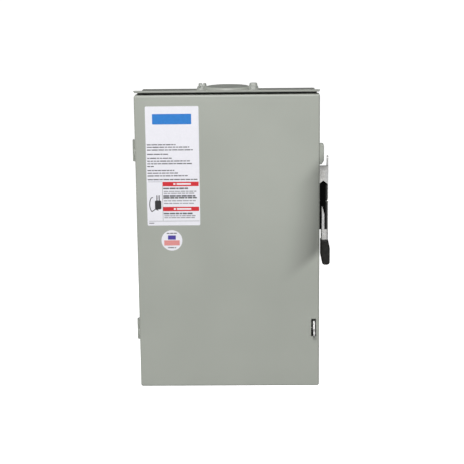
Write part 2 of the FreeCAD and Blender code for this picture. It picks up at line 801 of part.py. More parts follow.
def rotor_drum():
    """Moulded crossbar with the blades through it, discs between the poles and a slotted drive disc."""
    x0, x1 = BASE_X
    centre = (AXIS_Y, AXIS_Z)
    parts = [
        rod((x0, *centre), (1, 0, 0), 13.0, x1 - x0),
        rod((x0 - 8.0, *centre), (1, 0, 0), 7.0, x1 - x0 + 16.0),
        rod((x1 + 8.0, *centre), (1, 0, 0), 22.0, 4.0),
    ]
    for x in (x0 + 1.25, *BARRIER_X, x1 - 1.25):
        parts.append(rod((x - 1.25, *centre), (1, 0, 0), 19.0, 2.5))
    drum = fuse(*parts)
    return cut(drum, *[blade(x) for x in POLE_X], drive_slot(x1 + 7.0, 6.0))


def drive_slot(x, length):
    """Arc slot that lets the drive pin run ahead of the rotor by the handle's extra travel."""
    lost = HANDLE_TRAVEL - ROTOR_TRAVEL
    margin = 1.5
    outer = DRIVE_PIN_RADIUS + DRIVE_PIN_R + 0.3
    inner = DRIVE_PIN_RADIUS - DRIVE_PIN_R - 0.3
    ends = [-margin, lost + margin]

    def at(radius, degrees):
        a = math.radians(degrees)
        return V(x, AXIS_Y - radius * math.sin(a), AXIS_Z - radius * math.cos(a))

    middle = sum(ends) / 2
    edges = [
        Part.Arc(at(outer, ends[0]), at(outer, middle), at(outer, ends[1])).toShape(),
        Part.LineSegment(at(outer, ends[1]), at(inner, ends[1])).toShape(),
        Part.Arc(at(inner, ends[1]), at(inner, middle), at(inner, ends[0])).toShape(),
        Part.LineSegment(at(inner, ends[0]), at(outer, ends[0])).toShape(),
    ]
    band = Part.Face(Part.Wire(edges)).extrude(V(length, 0, 0))
    rounds = [rod(at(DRIVE_PIN_RADIUS, end), (1, 0, 0), DRIVE_PIN_R + 0.3, length) for end in ends]
    return fuse(band, *rounds)


def mechanism_frame():
    """Folded steel bridge on the right wall that holds the inner end of the handle shaft."""
    y = (AXIS_Y - 26.0, AXIS_Y + 26.0)
    low, high = 18.0, 104.0
    t = 2.0
    x0 = 103.0
    profile = [
        (x0, low, 3.0),
        (INNER_X - t, low),
        (INNER_X - t, low - 12.0),
        (INNER_X, low - 12.0),
        (INNER_X, low + t, 0.0),
        (x0 + t, low + t, 1.0),
        (x0 + t, high - t, 1.0),
        (INNER_X, high - t),
        (INNER_X, high + 12.0),
        (INNER_X - t, high + 12.0),
        (INNER_X - t, high),
        (x0, high, 3.0),
    ]
    bridge = prism_y(profile, *y)
    holes = [rod((x0 - 1, AXIS_Y, AXIS_Z), (1, 0, 0), 6.1, 6)]
    holes += [rod((INNER_X - 4, ry, rz), (1, 0, 0), 2.6, 6) for ry, rz in FRAME_RIVETS]
    return cut(bridge, *holes)


def shaft_bushing():
    """Flanged nylon bush where the handle shaft passes through the enclosure's wall."""
    bush = fuse(
        rod((INNER_X - 3.0, AXIS_Y, AXIS_Z), (1, 0, 0), 12.0, 3.0),
        rod((INNER_X - 0.01, AXIS_Y, AXIS_Z), (1, 0, 0), 8.5, BODY_X + 1.8 - INNER_X),
    )
    return cut(bush, rod((INNER_X - 5, AXIS_Y, AXIS_Z), (1, 0, 0), 6.06, 12))


# ---------------------------------------------------------------- handle
HANDLE_PLATE = BODY_X + 1.8  # outer face of the handle's base plate
HOOD_OUT = 170.7
HOOD_Y = (AXIS_Y - 14.0, AXIS_Y + 16.0)
HOOD_Z = 118.8
HOOD_Z_REAR = 115.4  # the hood's top slopes down to the rear
HOOD_EDGE_Z = 88.4
HOOD_NOTCH_Z = 94.1
EAR_TOP = 134.8
YOKE_X = (154.3, 169.9)
YOKE_Y = (AXIS_Y - 9.0, AXIS_Y + 9.0)
YOKE_TOP = 98.2
YOKE_SHOULDER = 92.7
YOKE_WAIST = 56.9
YOKE_END = 7.7
LEVER_X = (158.8, 170.0)
LEVER_Y = (AXIS_Y - 7.0, AXIS_Y + 7.0)
LEVER_TOP = 54.0
LEVER_PIN_R = 1.6  # cross pin that ties the lever's strap to the yoke at its waist
LEVER_PIN_Y = AXIS_Y - 5.4
STRAP_OUT = 171.0  # outer face of the lever's strap, which runs up over the yoke
STRAP_TOP = 92.0
GRIP_TOP = -10.8
GRIP_END = -55.6
LEVER_END = -39.6  # lower end of the lever, inside the grip


def handle_base():
    """Plated steel base on the enclosure's side: a plate with a collar round the shaft, and a hood above
    the pivot whose outer cheek rises into a padlock ear."""
    t = 1.8
    plate = prism_x(
        [
            (AXIS_Y - 26.0, 3.0, 5.0),
            (AXIS_Y + 26.0, 3.0, 5.0),
            (AXIS_Y + 26.0, 121.0, 4.0),
            (AXIS_Y - 26.0, 121.0, 4.0),
        ],
        BODY_X,
        HANDLE_PLATE,
    )
    collar_height = YOKE_X[0] - 0.4 - HANDLE_PLATE
    collar = cone((HANDLE_PLATE - 0.01, AXIS_Y, AXIS_Z), (1, 0, 0), 15.0, 12.0, collar_height)
    x0, x1 = HANDLE_PLATE - 0.01, HOOD_OUT
    mid = (YOKE_X[0] + YOKE_X[1]) / 2
    front = prism_y(
        [
            (x0, HOOD_Z),
            (x0, HOOD_EDGE_Z),
            (YOKE_X[0] + 0.4, HOOD_EDGE_Z),
            (mid, HOOD_NOTCH_Z),
            (YOKE_X[1] - 0.8, HOOD_EDGE_Z),
            (x1, HOOD_EDGE_Z - 0.8),
            (x1, HOOD_Z, 2.5),
        ],
        HOOD_Y[0],
        HOOD_Y[0] + t,
    )
    top = prism_x(
        [
            (HOOD_Y[0], HOOD_Z),
            (HOOD_Y[1], HOOD_Z_REAR),
            (HOOD_Y[1], HOOD_Z_REAR - t),
            (HOOD_Y[0], HOOD_Z - t),
        ],
        x0,
        x1 - 1.5,
    )
    cheek = prism_x(
        [
            (HOOD_Y[0], 98.0),
            (HOOD_Y[1], 98.0, 3.0),
            (HOOD_Y[1], HOOD_Z_REAR, 3.0),
            (AXIS_Y + 7.0, EAR_TOP, 5.0),
            (HOOD_Y[0] + 1.0, EAR_TOP, 1.2),
            (HOOD_Y[0], HOOD_Z),
        ],
        x1 - t,
        x1,
    )
    base = fuse(plate, collar, front, top, cheek)
    holes = [rod((BODY_X - 1, AXIS_Y, AXIS_Z), (1, 0, 0), 8.6, 8)]
    holes += [rod((BODY_X - 1, y, z), (1, 0, 0), 2.6, 4) for y, z in FRAME_RIVETS]
    holes.append(rod((x1 - 4, AXIS_Y, 125.5), (1, 0, 0), 4.0, 6))
    return cut(base, *holes)


def handle_base_rivets():
    """Rivets that clamp the base plate, the wall and the bridge inside."""
    rivets = []
    for y, z in FRAME_RIVETS:
        shank = rod((INNER_X - 2.0, y, z), (1, 0, 0), 2.5, HANDLE_PLATE - INNER_X + 2.0)
        inner = rod((INNER_X - 3.4, y, z), (1, 0, 0), 4.2, 1.4)
        outer = rod((HANDLE_PLATE, y, z), (1, 0, 0), 4.2, 1.5)
        outer = round_edges(outer, 0.9, lambda e: on_plane(e, "x", HANDLE_PLATE + 1.5))
        rivets.append(fuse(shank, inner, outer))
    return group(rivets)


def handle_yoke():
    """Black moulded hub and shroud: pointed at the top, notched at its waist, forked round the lever."""
    x0, x1 = YOKE_X
    mid = (x0 + x1) / 2
    notch, notch_half = 3.2, 2.2
    shape = [
        (mid, YOKE_TOP, 1.0),
        (x1, YOKE_SHOULDER, 1.0),
        (x1, YOKE_WAIST + notch_half),
        (x1 - notch, YOKE_WAIST),
        (x1, YOKE_WAIST - notch_half),
        (x1, YOKE_END),
        (x0, YOKE_END),
        (x0, YOKE_WAIST - notch_half),
        (x0 + notch, YOKE_WAIST),
        (x0, YOKE_WAIST + notch_half),
        (x0, YOKE_SHOULDER, 1.0),
    ]
    body = prism_y(shape, *YOKE_Y)
    pocket_y = (LEVER_Y[0] - 0.1, LEVER_Y[1] + 0.1)
    pocket = box((LEVER_X[0] - 0.1, x1 + 1), pocket_y, (YOKE_END - 1, LEVER_TOP))
    left, right = x0 + 4.4, x1 - 5.3
    opening = [
        (left, YOKE_END - 1),
        (left, 44.0),
        (left + 1.2, 51.5, 0.8),
        (right, 33.0, 3.0),
        (right, YOKE_END - 1),
    ]
    window = prism_y(opening, YOKE_Y[0] - 1, LEVER_Y[0] + 0.5)
    shaft = box((x0 - 1, 166.0), (AXIS_Y - 4.25, AXIS_Y + 4.25), (AXIS_Z - 4.25, AXIS_Z + 4.25))
    recess = rod((166.0, AXIS_Y, AXIS_Z), (1, 0, 0), 5.2, 6)
    pin = rod((x0 - 1, LEVER_PIN_Y, YOKE_WAIST), (1, 0, 0), LEVER_PIN_R + 0.1, x1 - x0 + 2)
    return cut(body, pocket, window, shaft, recess, pin)


def handle_lever():
    """Plated steel channel from the yoke into the grip, with a flat strap over the yoke's outer face and a
    cross pin riveted into the strap."""
    x0, x1 = LEVER_X
    y0, y1 = LEVER_Y
    outer = prism_z(
        [(x0, y1), (x0, y0, 1.6), (x1, y0, 1.6), (x1, y1)],
        LEVER_END,
        LEVER_TOP,
    )
    inner = prism_z(
        [(x0 + 2.0, y1 + 1), (x0 + 2.0, y0 + 2.0, 0.6), (x1 - 2.0, y0 + 2.0, 0.6), (x1 - 2.0, y1 + 1)],
        LEVER_END - 1,
        LEVER_TOP + 1,
    )
    strap_y = (y0 + 0.6, y1 - 0.6)
    strap = prism_x(
        [
            (strap_y[0], GRIP_TOP + 0.3),
            (strap_y[1], GRIP_TOP + 0.3),
            (strap_y[1], STRAP_TOP, 4.5),
            (strap_y[0], STRAP_TOP, 4.5),
        ],
        x1,
        STRAP_OUT,
    )
    pin_length = STRAP_OUT - YOKE_X[0] - 0.5
    pin = rod((YOKE_X[0] + 0.5, LEVER_PIN_Y, YOKE_WAIST), (1, 0, 0), LEVER_PIN_R, pin_length)
    lever = fuse(cut(outer, inner), strap, pin)
    return cut(lever, rod((x1 - 1, AXIS_Y, AXIS_Z), (1, 0, 0), 5.4, 3))


def handle_grip():
    """Moulded grip over the lever's end, leaning outward and rounded at the tip."""
    shape = [
        (157.8, GRIP_TOP, 2.0),
        (171.0, GRIP_TOP, 1.6),
        (174.2, -26.0, 8.0),
        (174.2, GRIP_END, 5.0),
        (161.4, GRIP_END, 5.0),
        (157.8, -38.0, 10.0),
    ]
    y = (AXIS_Y - 11.0, AXIS_Y + 11.0)
    body = prism_y(shape, *y)
    body = round_edges(body, 3.0, lambda e: on_plane(e, "y", y[0]) or on_plane(e, "y", y[1]))
    pocket_x = (LEVER_X[0] - 0.05, LEVER_X[1] + 0.05)
    pocket_y = (LEVER_Y[0] - 0.05, LEVER_Y[1] + 0.05)
    return cut(body, box(pocket_x, pocket_y, (LEVER_END - 0.1, GRIP_TOP + 1)))


def handle_shaft():
    """Steel shaft through the wall, with a square outer end for the yoke and a hole for its screw."""
    centre = (AXIS_Y, AXIS_Z)
    round_part = rod((96.0, *centre), (1, 0, 0), 6.0, YOKE_X[0] - 96.0)
    square = box((YOKE_X[0], 164.0), (AXIS_Y - 4.2, AXIS_Y + 4.2), (AXIS_Z - 4.2, AXIS_Z + 4.2))
    return cut(fuse(round_part, square), rod((152.0, *centre), (1, 0, 0), 2.1, 20))


def handle_screw():
    return screw((166.0, AXIS_Y, AXIS_Z), (1, 0, 0), 4.6, 2.8, 2.0, 12.0, 35.0)


def drive_crank():
    """Disc on the shaft with the pin that drives the rotor, and a finger that interlocks with the door."""
    x = (92.0, 96.0)
    centre = (AXIS_Y, AXIS_Z)
    disc = rod((x[0], *centre), (1, 0, 0), 20.0, x[1] - x[0])
    hub = rod((x[1] - 0.01, *centre), (1, 0, 0), 9.5, 5.0)
    pin = rod((86.3, AXIS_Y, AXIS_Z - DRIVE_PIN_RADIUS), (1, 0, 0), DRIVE_PIN_R, 6.0)
    finger = prism_x(
        [
            (AXIS_Y - 5.0, AXIS_Z - 15.0),
            (AXIS_Y - 5.0, AXIS_Z - 66.0, 3.0),
            (AXIS_Y - 14.0, AXIS_Z - 74.0, 3.0),
            (AXIS_Y - 8.0, AXIS_Z - 79.0, 3.0),
            (AXIS_Y + 6.0, AXIS_Z - 68.0, 3.0),
            (AXIS_Y + 5.0, AXIS_Z - 15.0),
        ],
        x[0] + 0.5,
        x[1] - 0.5,
    )
    crank = fuse(disc, hub, pin, finger)
    return cut(crank, rod((x[1], *centre), (1, 0, 0), 6.0, 12))


def coil(start, direction, radius, wire_r, pitch, turns):
    """A helical spring: a round wire swept along a helix."""
    helix = Part.makeHelix(pitch, pitch * turns, radius)
    profile = Part.Wire(Part.Circle(V(radius, 0, 0), V(0, 1, 0), wire_r).toShape())
    solid = Part.Wire(helix.Edges).makePipeShell([profile], True, True)
    solid.Placement = FreeCAD.Placement(V(*start), FreeCAD.Rotation(V(0, 0, 1), V(*direction)))
    return solid


def operating_spring():
    """Torsion spring wound round the shaft between the crank and the bridge."""
    return coil((108.0, AXIS_Y, AXIS_Z), (1, 0, 0), 9.6, 1.1, 3.4, 7)


# ---------------------------------------------------------------- neutral and ground
NEUTRAL_STRIP_Z = (-30.0, -16.0, -2.0, 12.0)
GROUND_Z = (-168.0, -104.0)
GROUND_HOLES_Z = (-158.0, -144.0, -130.0, -116.0)
GROUND_Y = (-4.5, -16.5)


def neutral_base():
    """Moulded insulator that carries the neutral on the back wall."""
    x = (NEUTRAL_X - 18.0, NEUTRAL_X + 18.0)
    z = (-72.0, 62.0)
    return prism_z(
        [(x[0], WALL_IN), (x[1], WALL_IN), (x[1] - 3.0, -14.0, 1.5), (x[0] + 3.0, -14.0, 1.5)], *z
    )


def neutral_bar():
    """Plated strap under the two neutral lugs, with a row of small terminals between them."""
    strap = box((NEUTRAL_X - 10.0, NEUTRAL_X + 10.0), (-14.0, NEUTRAL_SEAT), (-66.0, 56.0))
    strip = prism_z(
        [
            (NEUTRAL_X - 6.0, NEUTRAL_SEAT + 0.01),
            (NEUTRAL_X + 6.0, NEUTRAL_SEAT + 0.01),
            (NEUTRAL_X + 6.0, NEUTRAL_SEAT - 12.0, 1.0),
            (NEUTRAL_X - 6.0, NEUTRAL_SEAT - 12.0, 1.0),
        ],
        -35.0,
        22.0,
    )
    bar = fuse(strap, strip)
    holes = []
    for z in NEUTRAL_STRIP_Z:
        holes.append(rod((NEUTRAL_X - 8, NEUTRAL_SEAT - 5.0, z), (1, 0, 0), 2.6, 16))
        holes.append(rod((NEUTRAL_X, NEUTRAL_SEAT - 5.0, z), (0, -1, 0), 2.1, 10))
    return cut(bar, *holes)


def ground_bar():
    """Terminal bar on two feet that touch the back wall."""
    bar = prism_z(
        [
            (GROUND_X - 6.0, GROUND_Y[0]),
            (GROUND_X + 6.0, GROUND_Y[0]),
            (GROUND_X + 6.0, GROUND_Y[1], 1.0),
            (GROUND_X - 6.0, GROUND_Y[1], 1.0),
        ],
        *GROUND_Z,
    )
    foot_x = (GROUND_X - 6.0, GROUND_X + 6.0)
    feet = [box(foot_x, (WALL_IN, GROUND_Y[0] - 0.01), (z, z + 8.0)) for z in (-168.0, -112.0)]
    holes = []
    for z in GROUND_HOLES_Z:
        holes.append(rod((GROUND_X - 8, -10.5, z), (1, 0, 0), 2.6, 16))
        holes.append(rod((GROUND_X, -10.5, z), (0, -1, 0), 2.1, 10))
    return cut(fuse(bar, *feet), *holes)


def terminal_screws():
    """Binding screws of the neutral strip and of the ground bar, each turned its own way."""
    neutral_y = NEUTRAL_SEAT - 12.0
    screws = []
    for z in NEUTRAL_STRIP_Z:
        screws.append(screw((NEUTRAL_X, neutral_y, z), (0, -1, 0), 3.4, 2.4, 2.0, 5.0, 15 + z))
    for z in GROUND_HOLES_Z:
        screws.append(screw((GROUND_X, GROUND_Y[1], z), (0, -1, 0), 3.4, 2.4, 2.0, 4.0, 40 + z))
    return group(screws)


def bonding_strap():
    """Copper link between the neutral bar's lower end and the ground bar."""
    x = (NEUTRAL_X - 5.0, NEUTRAL_X + 3.0)
    return prism_x(
        [(-14.0, -66.0), (-14.0, GROUND_Z[1]), (-16.0, GROUND_Z[1]), (-16.0, -66.0)],
        *x,
    )


# ---------------------------------------------------------------- door
def door_panel():
    """Pan-shaped door that laps over the enclosure's edges on all four sides."""
    y = (DOOR_FRONT, DOOR_FRONT + DOOR_FLANGE)
    outer = prism_y(rectangle((-DOOR_X, DOOR_X), (-DOOR_Z, DOOR_Z), DOOR_BEND), *y)
    outer = round_edges(outer, DOOR_BEND - 0.2, lambda e: on_plane(e, "y", DOOR_FRONT))
    inside = (DOOR_X - SHEET, DOOR_Z - SHEET)
    inner = prism_y(
        rectangle((-inside[0], inside[0]), (-inside[1], inside[1]), DOOR_BEND - SHEET), DOOR_BACK, y[1] + 1
    )
    inner = round_edges(inner, DOOR_BEND - SHEET - 0.2, lambda e: on_plane(e, "y", DOOR_BACK))
    slot = prism_y(rectangle(SLOT_X, SLOT_Z, 1.0), DOOR_FRONT - 1, DOOR_BACK + 1)
    pocket_hole = box((DOOR_X - SHEET - 1, DOOR_X + 1), (-147.0, -135.0), (140.0, 160.0))
    return cut(outer, inner, slot, pocket_hole)


def interlock_pocket():
    """Pressed cap on the door's right flange over the hole that the interlock reaches through."""
    y = (-149.5, -132.0)
    x1 = DOOR_X + 7.0
    shape = [
        (DOOR_X, 132.8),
        (DOOR_X + 3.0, 132.8, 2.0),
        (x1, 139.0, 3.0),
        (x1, 166.7, 3.5),
        (DOOR_X, 166.7),
    ]
    cap = prism_y(shape, *y)

    def rim(edge):
        return any(on_plane(edge, "y", value) for value in y) and not on_plane(edge, "x", DOOR_X)

    cap = round_edges(cap, 1.8, rim)
    hollow = box((DOOR_X - 1, x1 - SHEET), (y[0] + SHEET, y[1] - SHEET), (140.5, 165.0))
    return cut(cap, hollow)


def door_interlock_bracket():
    """Angle welded inside the door, beside the path of the crank's finger."""
    x = (100.5, 102.5)
    foot = box((x[0], x[0] + 14.0), (DOOR_BACK, DOOR_BACK + SHEET), (58.0, 92.0))
    web = prism_x(
        [
            (DOOR_BACK, 58.0),
            (-136.0, 58.0, 3.0),
            (-136.0, 92.0, 3.0),
            (DOOR_BACK, 92.0),
        ],
        *x,
    )
    window = prism_x(rectangle((-146.0, -140.0), (66.0, 84.0), 1.5), x[0] - 1, x[1] + 1)
    return cut(fuse(foot, web), window)


def flat_label(x, z, width, height, corner, back, front):
    sides = (x - width / 2, x + width / 2)
    ends = (z - height / 2, z + height / 2)
    return prism_y(rectangle(sides, ends, corner), back, front)


def rating_label():
    return flat_label(LABEL_X, LABEL_Z, LABEL_W, LABEL_H, 2.0, DOOR_FRONT, DOOR_FRONT - 0.25)


def round_sticker():
    return rod((STICKER_X, DOOR_FRONT, STICKER_Z), (0, -1, 0), STICKER_R, 0.2)


def wiring_card():
    return flat_label(-8.0, 70.0, 180.0, 230.0, 3.0, DOOR_BACK, DOOR_BACK + 0.3)


# ---------------------------------------------------------------- door latch
def latch_bracket():
    """Two ears inside the door, joined above the slot, that carry the latch's pin."""
    z = (-167.0, -124.0)
    ear = [
        (DOOR_BACK, z[0]),
        (-137.0, z[0] + 8.0, 3.0),
        (-137.0, z[1] - 12.0, 3.0),
        (-145.0, z[1], 2.0),
        (DOOR_BACK, z[1]),
    ]
    ears = [prism_x(ear, x, x + 1.5) for x in (136.6, 145.6)]
    bridge = box((137.0, 146.5), (DOOR_BACK, DOOR_BACK + SHEET), (-130.5, z[1]))
    bracket = fuse(*ears, bridge)
    return cut(bracket, rod((130, LATCH_Y, LATCH_Z), (1, 0, 0), 2.0, 30))


def latch_pin():
    return rod((136.2, LATCH_Y, LATCH_Z), (1, 0, 0), 1.95, 11.2)


def latch_hook():
    """Plated latch: thumb tab and padlock eye stand out of the door's slot, and the finger points up behind
    the strike. Pulling the tab out lowers the finger."""
    shape = [
        (-144.0, -143.5, 3.0),
        (-149.0, -136.0, 1.5),
        (-153.5, -133.2, 2.0),
        (-158.8, -147.0, 1.0),
        (-157.8, -150.0),
        (-160.2, -151.5, 1.0),
        (-163.8, -157.2, 2.0),
        (-162.5, -160.4, 2.0),
        (-153.3, -160.8, 2.0),
        (-146.5, -158.0, 2.0),
        (-137.0, -158.5, 3.0),
        (-128.0, -156.0, 3.0),
        (-128.5, STRIKE_Z - 0.5, 1.0),
        (-132.0, STRIKE_Z - 0.5, 0.8),
        (-132.8, -150.5, 1.5),
        (-136.6, -150.8, 1.0),
        (-137.2, -145.6, 2.0),
    ]
    plate = prism_x(shape, *LATCH_X)
    eye = rod((LATCH_X[0] - 1, *LATCH_EYE), (1, 0, 0), 2.8, 6)
    return cut(plate, eye, rod((LATCH_X[0] - 1, LATCH_Y, LATCH_Z), (1, 0, 0), 2.0, 6))


def latch_strike():
    """Angle welded inside the enclosure's right wall, in front of the latch's finger."""
    z = (STRIKE_Z, STRIKE_Z + 18.0)
    face = [(138.5, z[0], 1.5), (INNER_X, z[0]), (INNER_X, z[1]), (138.5, z[1], 1.5)]
    plate = prism_y(face, -136.0, -134.5)
    foot = box((INNER_X - SHEET, INNER_X), (-134.6, -120.0), z)
    return fuse(plate, foot)


def latch_spring():
    return coil((138.6, LATCH_Y, LATCH_Z), (1, 0, 0), 2.9, 0.35, 0.8, 2.5)


# ---------------------------------------------------------------- write one STEP for each node
NODES = {
    "enclosure_shell": enclosure_shell,
    "top_endwall": lambda: endwall(True),
    "bottom_endwall": lambda: endwall(False),
    "drip_shield": drip_shield,
    "hub_closure_plate": hub_closure_plate,
    "hub_closure_gasket": hub_closure_gasket,
    "hub_closure_screws": hub_closure_screws,
    "bottom_knockout_slugs": lambda: group(s for _, slugs in bottom_knockouts() for s in slugs),
    "wall_knockout_slugs": lambda: group(s for _, slugs in wall_knockouts() for s in slugs),
    "hinge_body_leaves": lambda: group(hinge_body_leaf(z) for z in HINGE_Z),
    "hinge_pins": lambda: group(hinge_pin(z) for z in HINGE_Z),
    "mounting_pan": mounting_pan,
    "pan_nuts": pan_nuts,
    "line_base": line_base,
    "line_jaws": line_jaws,
    "line_lugs": line_lugs,
    "lug_screws": lug_screws,
    "fuse_base": fuse_base,
    "base_screws": base_screws,
    "load_jaws": load_jaws,
    "upper_fuse_clips": upper_fuse_clips,
    "lower_fuse_clips": lower_fuse_clips,
    "fuse_clip_springs": fuse_clip_springs,
    "load_lugs": load_lugs,
    "arc_chute_sides": arc_chute_sides,
    "arc_chute_plates": arc_chute_plates,
    "line_shield": line_shield,
    "line_shield_screws": line_shield_screws,
    "rotor_bearings": rotor_bearings,
    "mechanism_frame": mechanism_frame,
    "shaft_bushing": shaft_bushing,
    "neutral_base": neutral_base,
    "neutral_bar": neutral_bar,
    "neutral_lugs": neutral_lugs,
    "bonding_strap": bonding_strap,
    "ground_bar": ground_bar,
    "terminal_screws": terminal_screws,
    "handle_base": handle_base,
    "handle_base_rivets": handle_base_rivets,
    "door_panel": door_panel,
    "hinge_door_leaves": lambda: group(hinge_door_leaf(z) for z in HINGE_Z),
    "rating_label": rating_label,
    "round_sticker": round_sticker,
    "interlock_pocket": interlock_pocket,
    "door_interlock_bracket": door_interlock_bracket,
    "wiring_card": wiring_card,
    "latch_strike": latch_strike,
    "latch_bracket": latch_bracket,
    "latch_pin": latch_pin,
    "latch_hook": latch_hook,
    "latch_spring": latch_spring,
    "handle_yoke": handle_yoke,
    "handle_lever": handle_lever,
    "handle_grip": handle_grip,
    "handle_shaft": handle_shaft,
    "handle_screw": handle_screw,
    "drive_crank": drive_crank,
    "operating_spring": operating_spring,
    "rotor_drum": rotor_drum,
    "switch_blades": switch_blades,
}

os.makedirs("parts", exist_ok=True)
for node, make in NODES.items():
    shape = make()
    if not shape.isValid() or any(s.Volume <= 0 for s in shape.Solids):
        raise ValueError(f"{node} is not a valid solid")
    shape.exportStep(f"parts/{node}.step")
    print(f"{node}: {len(shape.Solids)} solids, {sum(s.Volume for s in shape.Solids) / 1000:.2f} cm3")
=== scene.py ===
"""Looks, light and camera for the outdoor safety switch. Metres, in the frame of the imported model:
X to the right, Y into the wall, Z up, origin at the middle of the back face's four wall-screw holes."""

import json
import math
import random

import bmesh
import bpy
from mathutils import Matrix, Vector


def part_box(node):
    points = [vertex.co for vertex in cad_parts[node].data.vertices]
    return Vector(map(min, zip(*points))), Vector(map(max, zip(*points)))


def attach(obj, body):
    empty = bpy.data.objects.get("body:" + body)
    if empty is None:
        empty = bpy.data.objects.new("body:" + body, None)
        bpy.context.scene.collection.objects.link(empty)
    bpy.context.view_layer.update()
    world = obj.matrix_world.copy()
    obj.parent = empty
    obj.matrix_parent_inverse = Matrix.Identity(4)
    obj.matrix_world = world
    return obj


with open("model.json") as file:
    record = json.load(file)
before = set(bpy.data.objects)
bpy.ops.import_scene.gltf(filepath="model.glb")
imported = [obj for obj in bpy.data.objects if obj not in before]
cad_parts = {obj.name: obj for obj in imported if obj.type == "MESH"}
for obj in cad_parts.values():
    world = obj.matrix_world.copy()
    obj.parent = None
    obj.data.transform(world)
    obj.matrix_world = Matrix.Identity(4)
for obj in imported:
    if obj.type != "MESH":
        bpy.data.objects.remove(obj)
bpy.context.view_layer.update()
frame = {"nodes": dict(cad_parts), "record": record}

NODES = frame["nodes"]
MM = 0.001

bpy.context.scene.view_settings.view_transform = "Standard"

# ---------------------------------------------------------------- figures that set the looks
PAINT = (0.372, 0.390, 0.350)
BLACK = (0.0025, 0.0025, 0.0025)
TOP_SHADED_TONE = 0.71  # painted shade: the paint darkened on the hood and the top wall, as a part of the door's

# The door's darker patch beside the handle is painted shade from the handle. It lies between three slanting
# lines. Each is a direction and the two distances along it, in metres from the origin, between which the
# patch fades.
HANDLE_SHADE_REACH = ((-1.0, 0.0, 0.09), -0.1440, -0.0840)
HANDLE_SHADE_BELOW = ((-0.85, 0.0, 1.0), -0.156, -0.132)
HANDLE_SHADE_ABOVE = ((0.93, 0.0, -1.0), -0.014, 0.022)
HANDLE_SHADE_STRENGTH = 0.62
HANDLE_SHADE_TONE = 0.18

# Painted shade on faces that look up, which are darker than faces toward the front: on the hood behind its
# front lip, on the top wall and on the hub closure's raised face. Each is a direction, two distances along it
# in millimetres, and the tone it falls to.
HOOD_TOP_SHADE = ((0.0, 1.0, 0.0), -151.0, -149.0, 0.62)
TOP_WALL_SHADE = ((0.0, 0.0, 1.0), 244.6, 244.9, 0.70)
HUB_TOP_SHADE = ((0.0, 0.0, 1.0), 256.0, 256.4, 0.66)

# Painted shade and reflection by height in millimetres. The handle's hood is bright below, darker at its top
# and bright again on the ear. The latch's thumb tab is painted darker at its lower end, with a dip below its
# bright top.
HOOD_PLATE_REFLECTION = ((88, 1.0), (98, 0.95), (105, 0.86), (113, 0.78), (119, 0.66), (122, 0.95))
LATCH_TAB_SHADE = (
    (-163, 0.26), (-158, 0.32), (-155, 0.55), (-152, 0.80), (-149.5, 0.62), (-147, 1.0), (-140, 1.0),
)

# The yoke's outer edge has a painted grey highlight: a direction, two distances along it in millimetres, and
# the colour.
YOKE_EDGE_HIGHLIGHT = ((1.0, 0.0, 0.0), 165.6, 169.2, (0.078, 0.078, 0.076))


